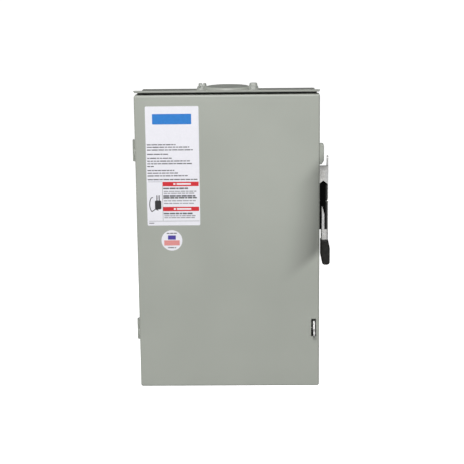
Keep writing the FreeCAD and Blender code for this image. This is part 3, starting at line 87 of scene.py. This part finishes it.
# ---------------------------------------------------------------- node-building helpers
class Shade:
    """One material with a Principled shader and short calls for the textures that drive it.

    Textures are placed by object coordinates, which are metres in the row frame."""

    def __init__(self, name, rough, metallic=0.0, specular=0.5, coat=0.0, coat_rough=0.2):
        self.m = bpy.data.materials.new(name)
        self.m.use_nodes = True
        self.nt = self.m.node_tree
        self.bsdf = self.nt.nodes["Principled BSDF"]
        self.bsdf.inputs["Roughness"].default_value = rough
        self.bsdf.inputs["Metallic"].default_value = metallic
        self.bsdf.inputs["Specular IOR Level"].default_value = specular
        self.bsdf.inputs["Coat Weight"].default_value = coat
        self.bsdf.inputs["Coat Roughness"].default_value = coat_rough
        self.coord = self.nt.nodes.new("ShaderNodeTexCoord").outputs["Object"]

    def node(self, kind, **values):
        n = self.nt.nodes.new(kind)
        for key, value in values.items():
            setattr(n, key, value)
        return n

    def link(self, a, b):
        self.nt.links.new(a, b)

    def stretched(self, scale):
        """Object coordinates scaled by a different amount along each axis."""
        n = self.node("ShaderNodeMapping")
        self.link(self.coord, n.inputs["Vector"])
        n.inputs["Scale"].default_value = scale
        return n.outputs["Vector"]

    def noise(self, size_mm, detail=3.0, rough=0.5, vector=None, distortion=0.0):
        """Noise whose blobs are about size_mm across."""
        n = self.node("ShaderNodeTexNoise")
        self.link(vector or self.coord, n.inputs["Vector"])
        n.inputs["Scale"].default_value = 1000.0 / size_mm
        n.inputs["Detail"].default_value = detail
        n.inputs["Roughness"].default_value = rough
        n.inputs["Distortion"].default_value = distortion
        return n.outputs["Fac"]

    def cells(self, size_mm, feature="F1", output="Distance"):
        """Cells about size_mm across."""
        n = self.node("ShaderNodeTexVoronoi", feature=feature)
        self.link(self.coord, n.inputs["Vector"])
        n.inputs["Scale"].default_value = 1000.0 / size_mm
        return n.outputs[output]

    def remap(self, value, low, high, to_low, to_high):
        n = self.node("ShaderNodeMapRange")
        self.link(value, n.inputs["Value"])
        n.inputs["From Min"].default_value = low
        n.inputs["From Max"].default_value = high
        n.inputs["To Min"].default_value = to_low
        n.inputs["To Max"].default_value = to_high
        return n.outputs["Result"]

    def along(self, direction):
        """Distance along a direction from the origin, in metres; the direction need not be a unit one."""
        n = self.node("ShaderNodeVectorMath", operation="DOT_PRODUCT")
        self.link(self.coord, n.inputs[0])
        n.inputs[1].default_value = direction
        return n.outputs["Value"]

    def soft_step(self, value, low, high):
        """0 below low, 1 above high, smooth between them."""
        n = self.node("ShaderNodeMapRange", interpolation_type="SMOOTHSTEP")
        self.link(value, n.inputs["Value"])
        n.inputs["From Min"].default_value = low
        n.inputs["From Max"].default_value = high
        return n.outputs["Result"]

    def product(self, *values):
        result = values[0]
        for value in values[1:]:
            n = self.node("ShaderNodeMath", operation="MULTIPLY")
            self.link(result, n.inputs[0])
            self.link(value, n.inputs[1])
            result = n.outputs[0]
        return result

    def mix(self, fac, a, b):
        """Colour between a and b, each a colour or a socket."""
        n = self.node("ShaderNodeMix", data_type="RGBA")
        self.link(fac, n.inputs["Factor"])
        for value, socket in ((a, n.inputs[6]), (b, n.inputs[7])):
            if isinstance(value, bpy.types.NodeSocket):
                self.link(value, socket)
            else:
                socket.default_value = (*value, 1.0)
        return n.outputs[2]

    def colour(self, socket):
        self.link(socket, self.bsdf.inputs["Base Color"])

    def roughness(self, socket):
        self.link(socket, self.bsdf.inputs["Roughness"])

    def bump(self, *layers):
        """Each layer is (height socket, depth in millimetres)."""
        normal = None
        for height, depth in layers:
            n = self.node("ShaderNodeBump")
            n.inputs["Strength"].default_value = 1.0
            n.inputs["Distance"].default_value = depth * MM
            self.link(height, n.inputs["Height"])
            if normal:
                self.link(normal, n.inputs["Normal"])
            normal = n.outputs["Normal"]
        self.link(normal, self.bsdf.inputs["Normal"])


def shade(colour, factor):
    return tuple(min(1.0, c * factor) for c in colour)


# ---------------------------------------------------------------- materials
def powder_coat(name, colour, rough=0.42, handle_shade=False, top_shade=()):
    """Polyester powder coat on sheet steel: orange peel, faint clouding and a few rub marks.

    handle_shade paints a soft darker patch beside the handle: shade from the handle. top_shade is a list of
    (direction, low, high, factor) of painted shade on faces that look up: the tone falls to factor of itself
    from low to high along that direction."""
    s = Shade(name, rough, specular=0.40, coat=0.10, coat_rough=0.25)
    cloud = s.noise(140, 2.0, 0.4)
    speck = s.noise(1.1, 2.0, 0.6)
    tone = s.mix(s.remap(cloud, 0.35, 0.65, 0, 1), shade(colour, 0.965), shade(colour, 1.035))
    tone = s.mix(s.remap(speck, 0.62, 0.80, 0, 0.35), tone, shade(colour, 0.80))
    rub = s.noise(26, 6.0, 0.72, vector=s.stretched((1.0, 1.0, 0.45)))
    tone = s.mix(s.remap(rub, 0.66, 0.74, 0, 0.16), tone, shade(colour, 1.25))
    # Painted shade beside the handle: the handle's shade on the door.
    if handle_shade:
        direction, near, far = HANDLE_SHADE_REACH
        reach = s.remap(s.along(direction), near, far, 1.0, 0.0)
        direction, low, high = HANDLE_SHADE_BELOW
        below = s.soft_step(s.along(direction), low, high)
        direction, low, high = HANDLE_SHADE_ABOVE
        above = s.soft_step(s.along(direction), low, high)
        strength = s.remap(s.product(reach, reach, below, above), 0.0, 1.0, 0.0, HANDLE_SHADE_STRENGTH)
        tone = s.mix(strength, tone, shade(colour, HANDLE_SHADE_TONE))
    # Painted shade on faces that look up.
    for direction, low, high, factor in top_shade:
        film = s.soft_step(s.along(direction), low * MM, high * MM)
        tone = s.mix(film, tone, shade(colour, factor))
    s.colour(tone)
    s.roughness(s.remap(rub, 0.3, 0.75, rough - 0.05, rough + 0.10))
    s.bump((s.noise(2.2, 1.5, 0.5), 0.05), (s.noise(0.5, 1.0, 0.5), 0.008))
    return s.m


def plated_steel(name, colour, rough, tint=(0.78, 0.76, 0.70), heights=(), metallic=1.0):
    """Plated sheet with drawn lines and a faint warm film.

    heights is a list of (z in millimetres, factor): painted shade and reflection, the plating's tone at those
    heights, and between them."""
    s = Shade(name, rough, metallic=metallic)
    lines = s.noise(1.4, 4.0, 0.65, vector=s.stretched((1.0, 1.0, 18.0)))
    film = s.noise(22, 3.0, 0.55, distortion=0.6)
    tone = s.mix(s.remap(film, 0.35, 0.72, 0, 0.7), colour, tint)
    if heights:
        place = s.node("ShaderNodeSeparateXYZ")
        s.link(s.coord, place.inputs["Vector"])
        low, high = heights[0][0], heights[-1][0]
        ramp = s.node("ShaderNodeValToRGB")
        stops = ramp.color_ramp.elements
        while len(stops) < len(heights):
            stops.new(0.5)
        for stop, (z, factor) in zip(stops, heights):
            stop.position = (z - low) / (high - low)
            stop.color = (factor, factor, factor, 1.0)
        s.link(s.remap(place.outputs["Z"], low * MM, high * MM, 0.0, 1.0), ramp.inputs["Fac"])
        tone = s.mix(ramp.outputs["Color"], (0.0, 0.0, 0.0), tone)
    s.colour(tone)
    blotch = s.noise(7, 5.0, 0.6)
    s.roughness(s.remap(blotch, 0.3, 0.75, rough * 0.75, rough * 1.45))
    s.bump((lines, 0.012), (s.noise(9, 2.0, 0.5), 0.05))
    return s.m


def galvanised(name, colour):
    """Hot-dip spangle: flat crystals with their own tone and roughness."""
    s = Shade(name, 0.42, metallic=1.0)
    crystal = s.cells(7.0, output="Color")
    tone = s.node("ShaderNodeRGBToBW")
    s.link(crystal, tone.inputs["Color"])
    grey = tone.outputs["Val"]
    s.colour(s.mix(grey, shade(colour, 0.72), shade(colour, 1.18)))
    s.roughness(s.remap(grey, 0.2, 0.8, 0.32, 0.55))
    s.bump((s.noise(3.0, 3.0, 0.5), 0.03))
    return s.m


def moulded(name, colour, rough, grain_mm=0.5, grain_depth=0.02, flow=0.25, specular=0.18, edge_highlights=()):
    """Moulded plastic: spark-eroded grain, faint flow marks and paler scuffs.

    edge_highlights is a list of (direction, low, high, colour): a painted highlight, the tone turned to that
    colour from low to high along the direction."""
    s = Shade(name, rough, specular=specular)
    streaks = s.noise(24, 5.0, 0.6, vector=s.stretched((1.0, 1.0, 0.35)), distortion=0.8)
    tone = s.mix(s.remap(streaks, 0.3, 0.7, 0, 1), shade(colour, 1 - flow), shade(colour, 1 + flow))
    scuff = s.noise(5, 8.0, 0.8)
    tone = s.mix(s.remap(scuff, 0.64, 0.72, 0, 0.22), tone, shade(colour, 2.6))
    # Painted highlight: the tone turned paler along an edge, standing for light on it.
    for direction, low, high, worn in edge_highlights:
        tone = s.mix(s.soft_step(s.along(direction), low * MM, high * MM), tone, worn)
    s.colour(tone)
    s.roughness(s.remap(scuff, 0.3, 0.75, rough - 0.06, rough + 0.14))
    s.bump((s.noise(grain_mm, 2.0, 0.6), grain_depth), (streaks, 0.04))
    return s.m


def grip_plastic(name, colour):
    """Black grip with a pebbled surface and worn high spots."""
    s = Shade(name, 0.50, specular=0.35)
    pebble = s.cells(1.25, feature="SMOOTH_F1")
    worn = s.noise(6, 6.0, 0.7)
    tone = s.mix(s.remap(worn, 0.45, 0.72, 0, 0.8), colour, shade(colour, 3.4))
    tone = s.mix(s.remap(pebble, 0.1, 0.5, 0, 0.6), tone, shade(colour, 0.5))
    s.colour(tone)
    s.roughness(s.remap(worn, 0.35, 0.7, 0.40, 0.62))
    s.bump((pebble, -0.16), (worn, 0.05))
    return s.m


def copper(name, colour, dark, rough=0.28, oxide=0.6):
    """Punched copper or tinned copper with handling marks and heat tint."""
    s = Shade(name, rough, metallic=1.0)
    stain = s.noise(8, 6.0, 0.65, distortion=0.5)
    tone = s.mix(s.remap(stain, 0.38, 0.72, 0, oxide), colour, dark)
    s.colour(tone)
    s.roughness(s.remap(stain, 0.3, 0.75, rough * 0.8, rough * 1.8))
    s.bump((s.noise(0.9, 3.0, 0.6, vector=s.stretched((1.0, 8.0, 1.0))), 0.012))
    return s.m


def extruded_aluminium(name, colour):
    s = Shade(name, 0.34, metallic=1.0)
    lines = s.noise(0.7, 3.0, 0.6, vector=s.stretched((9.0, 9.0, 0.6)))
    dull = s.noise(5, 5.0, 0.6)
    s.colour(s.mix(s.remap(dull, 0.35, 0.7, 0, 0.8), colour, shade(colour, 0.78)))
    s.roughness(s.remap(dull, 0.3, 0.7, 0.26, 0.46))
    s.bump((lines, 0.02), (s.noise(2.0, 3.0, 0.5), 0.015))
    return s.m


def fibre_board(name, colour):
    s = Shade(name, 0.82, specular=0.25)
    fibres = s.noise(1.8, 6.0, 0.75, vector=s.stretched((1.0, 0.35, 1.0)))
    s.colour(s.mix(s.remap(fibres, 0.3, 0.7, 0, 1), shade(colour, 0.72), shade(colour, 1.22)))
    s.bump((fibres, 0.05))
    return s.m


def rubber(name, colour):
    s = Shade(name, 0.75, specular=0.3)
    pores = s.cells(0.8)
    s.colour(s.mix(s.remap(pores, 0.0, 0.6, 0, 1), shade(colour, 0.6), shade(colour, 1.5)))
    s.bump((pores, 0.06))
    return s.m


def clear_plastic(name):
    s = Shade(name, 0.08, specular=0.5)
    s.bsdf.inputs["Transmission Weight"].default_value = 0.92
    s.bsdf.inputs["IOR"].default_value = 1.49
    haze = s.noise(12, 5.0, 0.7)
    s.colour(s.mix(s.remap(haze, 0.3, 0.8, 0, 1), (0.93, 0.95, 0.96), (0.80, 0.84, 0.86)))
    s.roughness(s.remap(haze, 0.4, 0.8, 0.05, 0.22))
    s.bump((s.noise(18, 2.0, 0.5), 0.05))
    return s.m


def printed_film(name, colour, rough=0.38, variation=0.03):
    """Vinyl film or printing ink on it: slight mottle, faint handling streaks and a soft sheen."""
    s = Shade(name, rough, specular=0.4, coat=0.08, coat_rough=0.3)
    mottle = s.noise(3.5, 4.0, 0.6)
    streak = s.noise(30, 4.0, 0.6, vector=s.stretched((1.0, 1.0, 0.4)))
    tone = s.mix(s.remap(mottle, 0.3, 0.7, 0, 1), shade(colour, 1 - variation), shade(colour, 1 + variation))
    tone = s.mix(s.remap(streak, 0.58, 0.75, 0, 0.10), tone, shade(colour, 0.80))
    s.colour(tone)
    s.roughness(s.remap(streak, 0.3, 0.7, rough - 0.05, rough + 0.08))
    s.bump((s.noise(6.0, 2.0, 0.5), 0.02), (s.noise(0.6, 1.0, 0.5), 0.004))
    return s.m


BY_SLOT = {
    "enclosure_paint": powder_coat("enclosure_paint", PAINT),
    "door_paint": powder_coat("door_paint", PAINT, handle_shade=True),
    "zinc_plate": plated_steel("zinc_plate", (0.60, 0.61, 0.63), 0.34, tint=(0.62, 0.58, 0.48)),
    "galvanised": galvanised("galvanised", (0.56, 0.57, 0.57)),
    "bright_plate": plated_steel("bright_plate", (0.80, 0.80, 0.81), 0.24),
    "black_moulding": moulded("black_moulding", BLACK, 0.46, specular=0.05),
    "dark_phenolic": moulded("dark_phenolic", (0.045, 0.040, 0.036), 0.46, grain_mm=0.9, flow=0.35),
    "red_insulator": moulded("red_insulator", (0.26, 0.035, 0.022), 0.40, grain_mm=0.8, flow=0.3),
    "grey_fibre": fibre_board("grey_fibre", (0.33, 0.31, 0.27)),
    "tinned_copper": copper("tinned_copper", (0.72, 0.68, 0.62), (0.48, 0.42, 0.35), 0.30, 0.5),
    "bare_copper": copper("bare_copper", (0.80, 0.42, 0.26), (0.36, 0.16, 0.10), 0.26, 0.7),
    "lug_aluminium": extruded_aluminium("lug_aluminium", (0.74, 0.74, 0.75)),
    "spring_steel": plated_steel("spring_steel", (0.34, 0.34, 0.36), 0.36, tint=(0.30, 0.25, 0.20)),
    "clear_plastic": clear_plastic("clear_plastic"),
    "nylon_white": moulded("nylon_white", (0.72, 0.71, 0.65), 0.5, flow=0.05),
    "gasket_rubber": rubber("gasket_rubber", (0.03, 0.03, 0.03)),
    "label_stock": printed_film("label_stock", (0.80, 0.795, 0.845), 0.34, 0.02),
    "card_stock": printed_film("card_stock", (0.74, 0.73, 0.66), 0.5, 0.04),
}
BY_NODE = {
    "handle_grip": grip_plastic("grip_plastic", (0.020, 0.020, 0.018)),
    # Painted reflection: the hood plate's tone changes with height.
    "handle_base": plated_steel("hood_plate", (0.92, 0.92, 0.93), 0.30, heights=HOOD_PLATE_REFLECTION),
    "handle_yoke": moulded("yoke_moulding", BLACK, 0.46, specular=0.05, edge_highlights=[YOKE_EDGE_HIGHLIGHT]),
    # Painted shade: the hood and the top wall take a darker copy of the door's paint.
    "drip_shield": powder_coat("hood_paint_shaded", shade(PAINT, TOP_SHADED_TONE), top_shade=[HOOD_TOP_SHADE]),
    "top_endwall": powder_coat("top_paint_shaded", shade(PAINT, TOP_SHADED_TONE), top_shade=[TOP_WALL_SHADE]),
    "hub_closure_plate": powder_coat("hub_paint", PAINT, top_shade=[HUB_TOP_SHADE]),
    "hub_closure_screws": plated_steel(
        "dull_zinc", (0.50, 0.52, 0.49), 0.60, tint=(0.44, 0.45, 0.41), metallic=0.35
    ),
    # Painted shade: the latch tab darkens towards its lower end.
    "latch_hook": plated_steel(
        "latch_plate", (0.82, 0.82, 0.82), 0.55, tint=(0.70, 0.69, 0.66), metallic=0.4, heights=LATCH_TAB_SHADE
    ),
    # Painted shade: the bracket is made dark to stand for the shade in the latch slot around it.
    "latch_bracket": plated_steel(
        "slot_shade_plate", (0.10, 0.10, 0.10), 0.55, tint=(0.08, 0.08, 0.07), metallic=0.3
    ),
    "latch_pin": plated_steel("dark_pin", (0.16, 0.16, 0.16), 0.50, tint=(0.12, 0.12, 0.11), metallic=0.3),
}

for entry in frame["record"]["subparts"]:
    node = entry["node"]
    material = BY_NODE.get(node, BY_SLOT[entry["material_slot"]])
    data = NODES[node].data
    data.materials.clear()
    data.materials.append(material)


# ---------------------------------------------------------------- mesh helpers
WORD_WIDTHS = (3.2, 10.5)
WORD_GAP = 0.9
PRINT_SUNK = 0.02  # a print reaches this far into its sheet and PRINT_RAISED in front of it, in millimetres
PRINT_RAISED = 0.04
rng = random.Random(11)


def piece(name, bm, body, material, smooth=False, at=(0.0, 0.0)):
    """Makes an object that rides on a body; at is the (x, z) in millimetres of the mesh's own origin."""
    bmesh.ops.translate(bm, verts=bm.verts, vec=(at[0] * MM, 0.0, at[1] * MM))
    mesh = bpy.data.meshes.new(name)
    bm.normal_update()
    bm.to_mesh(mesh)
    bm.free()
    mesh.materials.append(material)
    if smooth:
        for p in mesh.polygons:
            p.use_smooth = True
    obj = bpy.data.objects.new(name, mesh)
    bpy.context.scene.collection.objects.link(obj)
    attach(obj, body)
    return obj


def slab(bm, outline, y_back, y_front):
    """A flat print: an (x, z) outline in millimetres between two y values."""
    back = [bm.verts.new((x * MM, y_back * MM, z * MM)) for x, z in outline]
    front = [bm.verts.new((x * MM, y_front * MM, z * MM)) for x, z in outline]
    bm.faces.new(front)
    bm.faces.new(list(reversed(back)))
    for i in range(len(outline)):
        j = (i + 1) % len(outline)
        bm.faces.new((back[i], back[j], front[j], front[i]))


def bar(x0, x1, z0, z1, r=0.0, steps=4):
    """Outline of a rectangle with rounded corners."""
    if not r:
        return [(x0, z0), (x1, z0), (x1, z1), (x0, z1)]
    points = []
    low_x, high_x, low_z, high_z = x0 + r, x1 - r, z0 + r, z1 - r
    corners = ((high_x, low_z, -90), (high_x, high_z, 0), (low_x, high_z, 90), (low_x, low_z, 180))
    for cx, cz, start in corners:
        for k in range(steps + 1):
            a = math.radians(start + 90 * k / steps)
            points.append((cx + r * math.cos(a), cz + r * math.sin(a)))
    return points


def stroke(bm, points, width, y_back, y_front):
    """A line of straight strokes of one width through (x, z) points."""
    for (x0, z0), (x1, z1) in zip(points, points[1:]):
        along = Vector((x1 - x0, z1 - z0)).normalized()
        side = Vector((-along.y, along.x)) * width / 2
        a, b = Vector((x0, z0)) - along * width / 4, Vector((x1, z1)) + along * width / 4
        slab(bm, [tuple(a - side), tuple(b - side), tuple(b + side), tuple(a + side)], y_back, y_front)


def word_row(bm, x0, x1, z, height, y_back, y_front):
    """A line of print shown as plain blocks of the width of words, with no letters."""
    x = x0
    while x < x1 - 2.0:
        width = min(rng.uniform(*WORD_WIDTHS), x1 - x)
        rise = height * rng.uniform(0.88, 1.0)
        slab(bm, bar(x, x + width, z - rise / 2, z + rise / 2, 0.25, 2), y_back, y_front)
        x += width + WORD_GAP


# ---------------------------------------------------------------- printing on the door's label and sticker
label_lo, label_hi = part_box("rating_label")
LABEL_CORNER = (label_lo.x / MM, label_lo.z / MM)  # print on the label is placed from its lower left corner
LABEL_FACE = label_lo.y / MM
INK_BACK = LABEL_FACE + PRINT_SUNK
INK_FRONT = LABEL_FACE - PRINT_RAISED

ink_grey = printed_film("ink_grey", (0.13, 0.13, 0.14), 0.45, 0.10)
ink_pale = printed_film("ink_pale", (0.32, 0.32, 0.34), 0.45, 0.08)
ink_dark = printed_film("ink_dark", (0.03, 0.03, 0.032), 0.40, 0.10)
ink_blue = printed_film("ink_blue", (0.025, 0.20, 0.58), 0.36, 0.05)
ink_red = printed_film("ink_red", (0.62, 0.025, 0.035), 0.36, 0.05)
ink_rose = printed_film("ink_rose", (0.72, 0.28, 0.27), 0.40, 0.05)
ink_violet = printed_film("ink_violet", (0.07, 0.05, 0.33), 0.36, 0.05)
ink_white = printed_film("ink_white", (0.84, 0.84, 0.86), 0.38, 0.03)


def label_print(name, bm, ink):
    piece(f"label_print_{name}", bm, "door", ink, at=LABEL_CORNER)


# The layout below is in millimetres from that corner: x to the right, z up.
bm = bmesh.new()
slab(bm, bar(11.45, 75.85, 169.5, 186.7, 1.2), INK_BACK, INK_FRONT)
label_print("blue_block", bm, ink_blue)

TEXT_ROWS = (  # height of a row and where it ends
    (135.9, 49.45), (131.8, 71.95), (127.2, 77.75), (120.0, 36.75), (113.4, 42.55), (108.7, 72.55),
    (104.3, 77.35), (99.7, 12.55), (93.0, 46.45), (88.6, 54.45), (84.0, 68.35), (77.7, 84.45),
)
bm = bmesh.new()
for z, x_end in TEXT_ROWS:
    word_row(bm, 1.95, x_end, z, 1.85, INK_BACK, INK_FRONT)
word_row(bm, 2.65, 13.55, 4.1, 1.5, INK_BACK, INK_FRONT)
label_print("text_rows", bm, ink_grey)

bm = bmesh.new()
for z in (57.9, 54.7, 41.9, 37.5, 16.5, 13.3):
    word_row(bm, 28.15, 83.75 + rng.uniform(-5, 0), z, 1.9, INK_BACK, INK_FRONT)
label_print("pale_rows", bm, ink_pale)

bm = bmesh.new()
for z, x_end in ((62.9, 69.65), (50.1, 83.45), (46.9, 83.45), (20.3, 75.35)):
    word_row(bm, 27.35, x_end, z, 2.7, INK_BACK, INK_FRONT)
label_print("dark_rows", bm, ink_grey)

RED_BANDS = ((66.5, 73.9), (24.4, 31.6))
bm = bmesh.new()
for z0, z1 in RED_BANDS:
    slab(bm, bar(26.35, 86.35, z0, z1, 0.3, 2), INK_BACK, INK_FRONT)
label_print("red_bands", bm, ink_red)

bm = bmesh.new()
for z0, z1 in RED_BANDS:
    mid = (z0 + z1) / 2  # the white blocks lie on top of the band
    for x0, x1 in ((44.35, 47.75), (49.75, 73.35)):
        slab(bm, bar(x0, x1, mid - 1.35, mid + 1.35, 0.5, 3), INK_BACK - 0.05, INK_FRONT - 0.02)
label_print("band_blocks", bm, ink_white)

bm = bmesh.new()
for rule in (bar(2.55, 86.75, 7.1, 7.9), bar(2.55, 25.95, 73.7, 74.4), bar(25.75, 26.55, 7.9, 66.5)):
    slab(bm, rule, INK_BACK, INK_FRONT)
label_print("rules", bm, ink_pale)

bm = bmesh.new()
slab(bm, bar(13.05, 23.65, 27.5, 42.5, 2.2), INK_BACK, INK_FRONT)
for x in (15.75, 19.35):
    slab(bm, bar(x, x + 1.7, 41.3, 51.3, 0.5, 3), INK_BACK, INK_FRONT)
cord_turns = [math.radians(a) for a in range(80, 261, 15)]
cord = [(8.95 + 4.6 * math.cos(a), 35.7 + 12.0 * math.sin(a)) for a in cord_turns]
stroke(bm, cord + [(13.95, 28.1), (18.35, 26.1)], 1.3, INK_BACK, INK_FRONT)
label_print("plain_symbol", bm, ink_dark)

sticker_lo, sticker_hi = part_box("round_sticker")
STICKER_X = (sticker_lo.x + sticker_hi.x) / 2 / MM
STICKER_Z = (sticker_lo.z + sticker_hi.z) / 2 / MM
STICKER_BACK = sticker_lo.y / MM + PRINT_SUNK
STICKER_FRONT = sticker_lo.y / MM - PRINT_RAISED
STICKER_PRINT_R = 16.4


def disc_band(z_low, z_high, x_low, x_high, steps=18):
    """Outline of the part of the sticker's printed disc between two heights and two x values."""
    left, right = [], []
    for k in range(steps + 1):
        z = z_low + (z_high - z_low) * k / steps
        half = math.sqrt(max(0.0, STICKER_PRINT_R * STICKER_PRINT_R - z * z))
        left.append((STICKER_X + max(x_low, -half), STICKER_Z + z))
        right.append((STICKER_X + min(x_high, half), STICKER_Z + z))
    return right + list(reversed(left))


bm = bmesh.new()
slab(bm, disc_band(1.4, 8.6, -6.6, 6.6), STICKER_BACK, STICKER_FRONT)
piece("sticker_print_blue_block", bm, "door", ink_violet)
bm = bmesh.new()
slab(bm, disc_band(-8.6, 0.2, -13.0, 13.0), STICKER_BACK, STICKER_FRONT)
piece("sticker_print_rose_block", bm, "door", ink_rose)
bm = bmesh.new()
for dz, half in ((-12.4, 6.8), (12.2, 8.5)):
    word_row(bm, STICKER_X - half, STICKER_X + half, STICKER_Z + dz, 1.7, STICKER_BACK, STICKER_FRONT)
piece("sticker_print_rows", bm, "door", ink_grey)

# ---------------------------------------------------------------- wiring card inside the door
card_lo, card_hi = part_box("wiring_card")
CARD_CENTRE = ((card_lo.x + card_hi.x) / 2 / MM, (card_lo.z + card_hi.z) / 2 / MM)
CARD_BACK = card_hi.y / MM - PRINT_SUNK  # the card faces into the box, so its print rises toward +Y
CARD_FRONT = card_hi.y / MM + PRINT_RAISED
bm = bmesh.new()
for z in range(-42, 102, 8):
    word_row(bm, -84.0, -10.0 - rng.uniform(0, 14), float(z), 1.9, CARD_BACK, CARD_FRONT)
for x in (18.0, 42.0, 66.0):  # one line, fuse and open blade for each pole
    for part in (
        bar(x - 0.4, x + 0.4, -50.0, -10.0),
        bar(x - 3.0, x + 3.0, -10.0, -9.2),
        bar(x - 3.0, x + 3.0, 14.0, 14.8),
        bar(x - 3.0, x - 2.2, -9.2, 14.0),
        bar(x + 2.2, x + 3.0, -9.2, 14.0),
        bar(x - 0.4, x + 0.4, 14.8, 42.0),
        [(x - 0.4, 42.0), (x + 0.4, 42.0), (x + 9.4, 60.0), (x + 8.6, 60.4)],
        bar(x - 0.4, x + 0.4, 64.0, 98.0),
    ):
        slab(bm, part, CARD_BACK, CARD_FRONT)
piece("wiring_card_print", bm, "door", ink_grey, at=CARD_CENTRE)


# ---------------------------------------------------------------- weld beads where sheets are joined
BEAD_RADIUS = 0.9
BEAD_PITCH = 0.9


def bead(bm, start, end):
    """A row of overlapping weld ripples between two points, in millimetres."""
    a, b = Vector(start), Vector(end)
    count = max(2, int((b - a).length / BEAD_PITCH))
    for k in range(count + 1):
        p = a.lerp(b, k / count)
        r = BEAD_RADIUS * rng.uniform(0.85, 1.1)
        matrix = Matrix.Translation(p * MM) @ Matrix.Diagonal((r * MM, r * MM, r * MM, 1.0))
        bmesh.ops.create_icosphere(bm, subdivisions=2, radius=1.0, matrix=matrix)


leaf_lo, leaf_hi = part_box("hinge_body_leaves")
leaf_heights = [v.co.z for v in NODES["hinge_body_leaves"].data.vertices]
leaf_x = leaf_hi.x / MM - 0.5  # beads lie in the corner between a leaf's edge and the wall behind it
leaf_rear = leaf_hi.y / MM
for name, sign in (("upper", 1), ("lower", -1)):
    own = [z / MM for z in leaf_heights if z * sign > 0]
    z0, z1 = min(own), max(own)
    bm = bmesh.new()
    rear = leaf_rear + 0.4
    bead(bm, (leaf_x, rear, z0 + 3.5), (leaf_x, rear, z1 - 3.5))
    start, end = leaf_rear - 22.0, leaf_rear - 5.0
    bead(bm, (leaf_x, start, z1 + 0.5), (leaf_x, end, z1 + 0.5))
    bead(bm, (leaf_x, start, z0 - 0.5), (leaf_x, end, z0 - 0.5))
    piece(f"{name}_hinge_weld", bm, "enclosure", BY_SLOT["enclosure_paint"], smooth=True)

# ---------------------------------------------------------------- light, floor and camera
scene = bpy.context.scene


def area_light(name, location, target, size, power):
    data = bpy.data.lights.new(name, "AREA")
    data.shape = "RECTANGLE"
    data.size, data.size_y = size
    data.energy = power
    obj = bpy.data.objects.new(name, data)
    obj.location = location
    direction = Vector(target) - Vector(location)
    obj.rotation_euler = direction.to_track_quat("-Z", "Y").to_euler()
    obj.visible_camera = False
    scene.collection.objects.link(obj)
    return obj


area_light("key_softbox", (-0.15, -2.2, 1.85), (0, -0.1, 0.10), (1.4, 0.9), 67)
area_light("front_card", (0.33, -3.4, -0.42), (0.1, -0.1, 0.0), (1.8, 0.8), 4.0)
back_light = area_light("back_softbox", (0.6, 2.6, 0.9), (0, 0, 0), (2.0, 1.6), 48)
back_light.visible_glossy = False
for side, power in ((-1, 30), (1, 14)):
    side_light = area_light(f"side_softbox_{side}", (side * 2.6, 0.9, 0.5), (0, 0, 0), (1.2, 1.2), power)
    side_light.visible_glossy = False

world = bpy.data.worlds.new("studio")
scene.world = world
world.use_nodes = True
nt = world.node_tree
background = nt.nodes["Background"]
direction = nt.nodes.new("ShaderNodeTexCoord").outputs["Generated"]
axes_of = nt.nodes.new("ShaderNodeSeparateXYZ")
nt.links.new(direction, axes_of.inputs["Vector"])


def world_ramp(value, low, high, to_low, to_high):
    n = nt.nodes.new("ShaderNodeMapRange")
    n.interpolation_type = "SMOOTHSTEP"
    nt.links.new(value, n.inputs["Value"])
    for name, number in (("From Min", low), ("From Max", high), ("To Min", to_low), ("To Max", to_high)):
        n.inputs[name].default_value = number
    return n.outputs["Result"]


def world_math(operation, a, b):
    n = nt.nodes.new("ShaderNodeMath")
    n.operation = operation
    for value, socket in ((a, n.inputs[0]), (b, n.inputs[1])):
        if isinstance(value, bpy.types.NodeSocket):
            nt.links.new(value, socket)
        else:
            socket.default_value = value
    return n.outputs[0]


# The room that the metal reflects is paler in front of the box and darker overhead. The camera sees white.
front_wall = world_ramp(axes_of.outputs["Y"], -1.0, 0.6, 0.62, 0.22)
ceiling = world_ramp(axes_of.outputs["Z"], 0.25, 0.95, 1.0, 0.18)
glow = world_math("MULTIPLY", front_wall, ceiling)
seen = nt.nodes.new("ShaderNodeLightPath").outputs["Is Camera Ray"]
nt.links.new(world_math("MAXIMUM", glow, seen), background.inputs["Strength"])
background.inputs["Color"].default_value = (1.0, 1.0, 1.0, 1.0)

FLOOR_Z = -0.75
bm = bmesh.new()
bmesh.ops.create_grid(bm, x_segments=8, y_segments=8, size=60.0)
mesh = bpy.data.meshes.new("floor")
bm.to_mesh(mesh)
bm.free()
floor = bpy.data.objects.new("floor", mesh)
floor.location = (0, 0, FLOOR_Z)
scene.collection.objects.link(floor)
floor_look = Shade("floor_pale", 0.8, specular=0.1)
floor_look.colour(floor_look.mix(floor_look.noise(900, 2.0), (0.36, 0.36, 0.36), (0.39, 0.39, 0.39)))
floor_look.bsdf.inputs["Emission Color"].default_value = (1, 1, 1, 1)
camera_ray = floor_look.node("ShaderNodeLightPath").outputs["Is Camera Ray"]
floor_look.link(camera_ray, floor_look.bsdf.inputs["Emission Strength"])
floor.data.materials.append(floor_look.m)

CAMERA_AT = (0.049, -2.2393, 0.4657)
YAW, PITCH, ROLL = (math.radians(a) for a in (-1.17, 12.04, -0.63))
forward = Vector((math.sin(YAW) * math.cos(PITCH), math.cos(YAW) * math.cos(PITCH), -math.sin(PITCH)))
level = Vector((math.cos(YAW), -math.sin(YAW), 0.0))
upward = level.cross(forward)
right = math.cos(ROLL) * level + math.sin(ROLL) * upward
up = -math.sin(ROLL) * level + math.cos(ROLL) * upward

camera_data = bpy.data.cameras.new("camera")
camera_data.sensor_width = 36.0
camera_data.lens = 99.2
camera_data.clip_end = 200.0
camera = bpy.data.objects.new("camera", camera_data)
axes = Matrix((right, up, -forward)).transposed()
camera.matrix_world = Matrix.Translation(CAMERA_AT) @ axes.to_4x4()
scene.collection.objects.link(camera)
scene.camera = camera
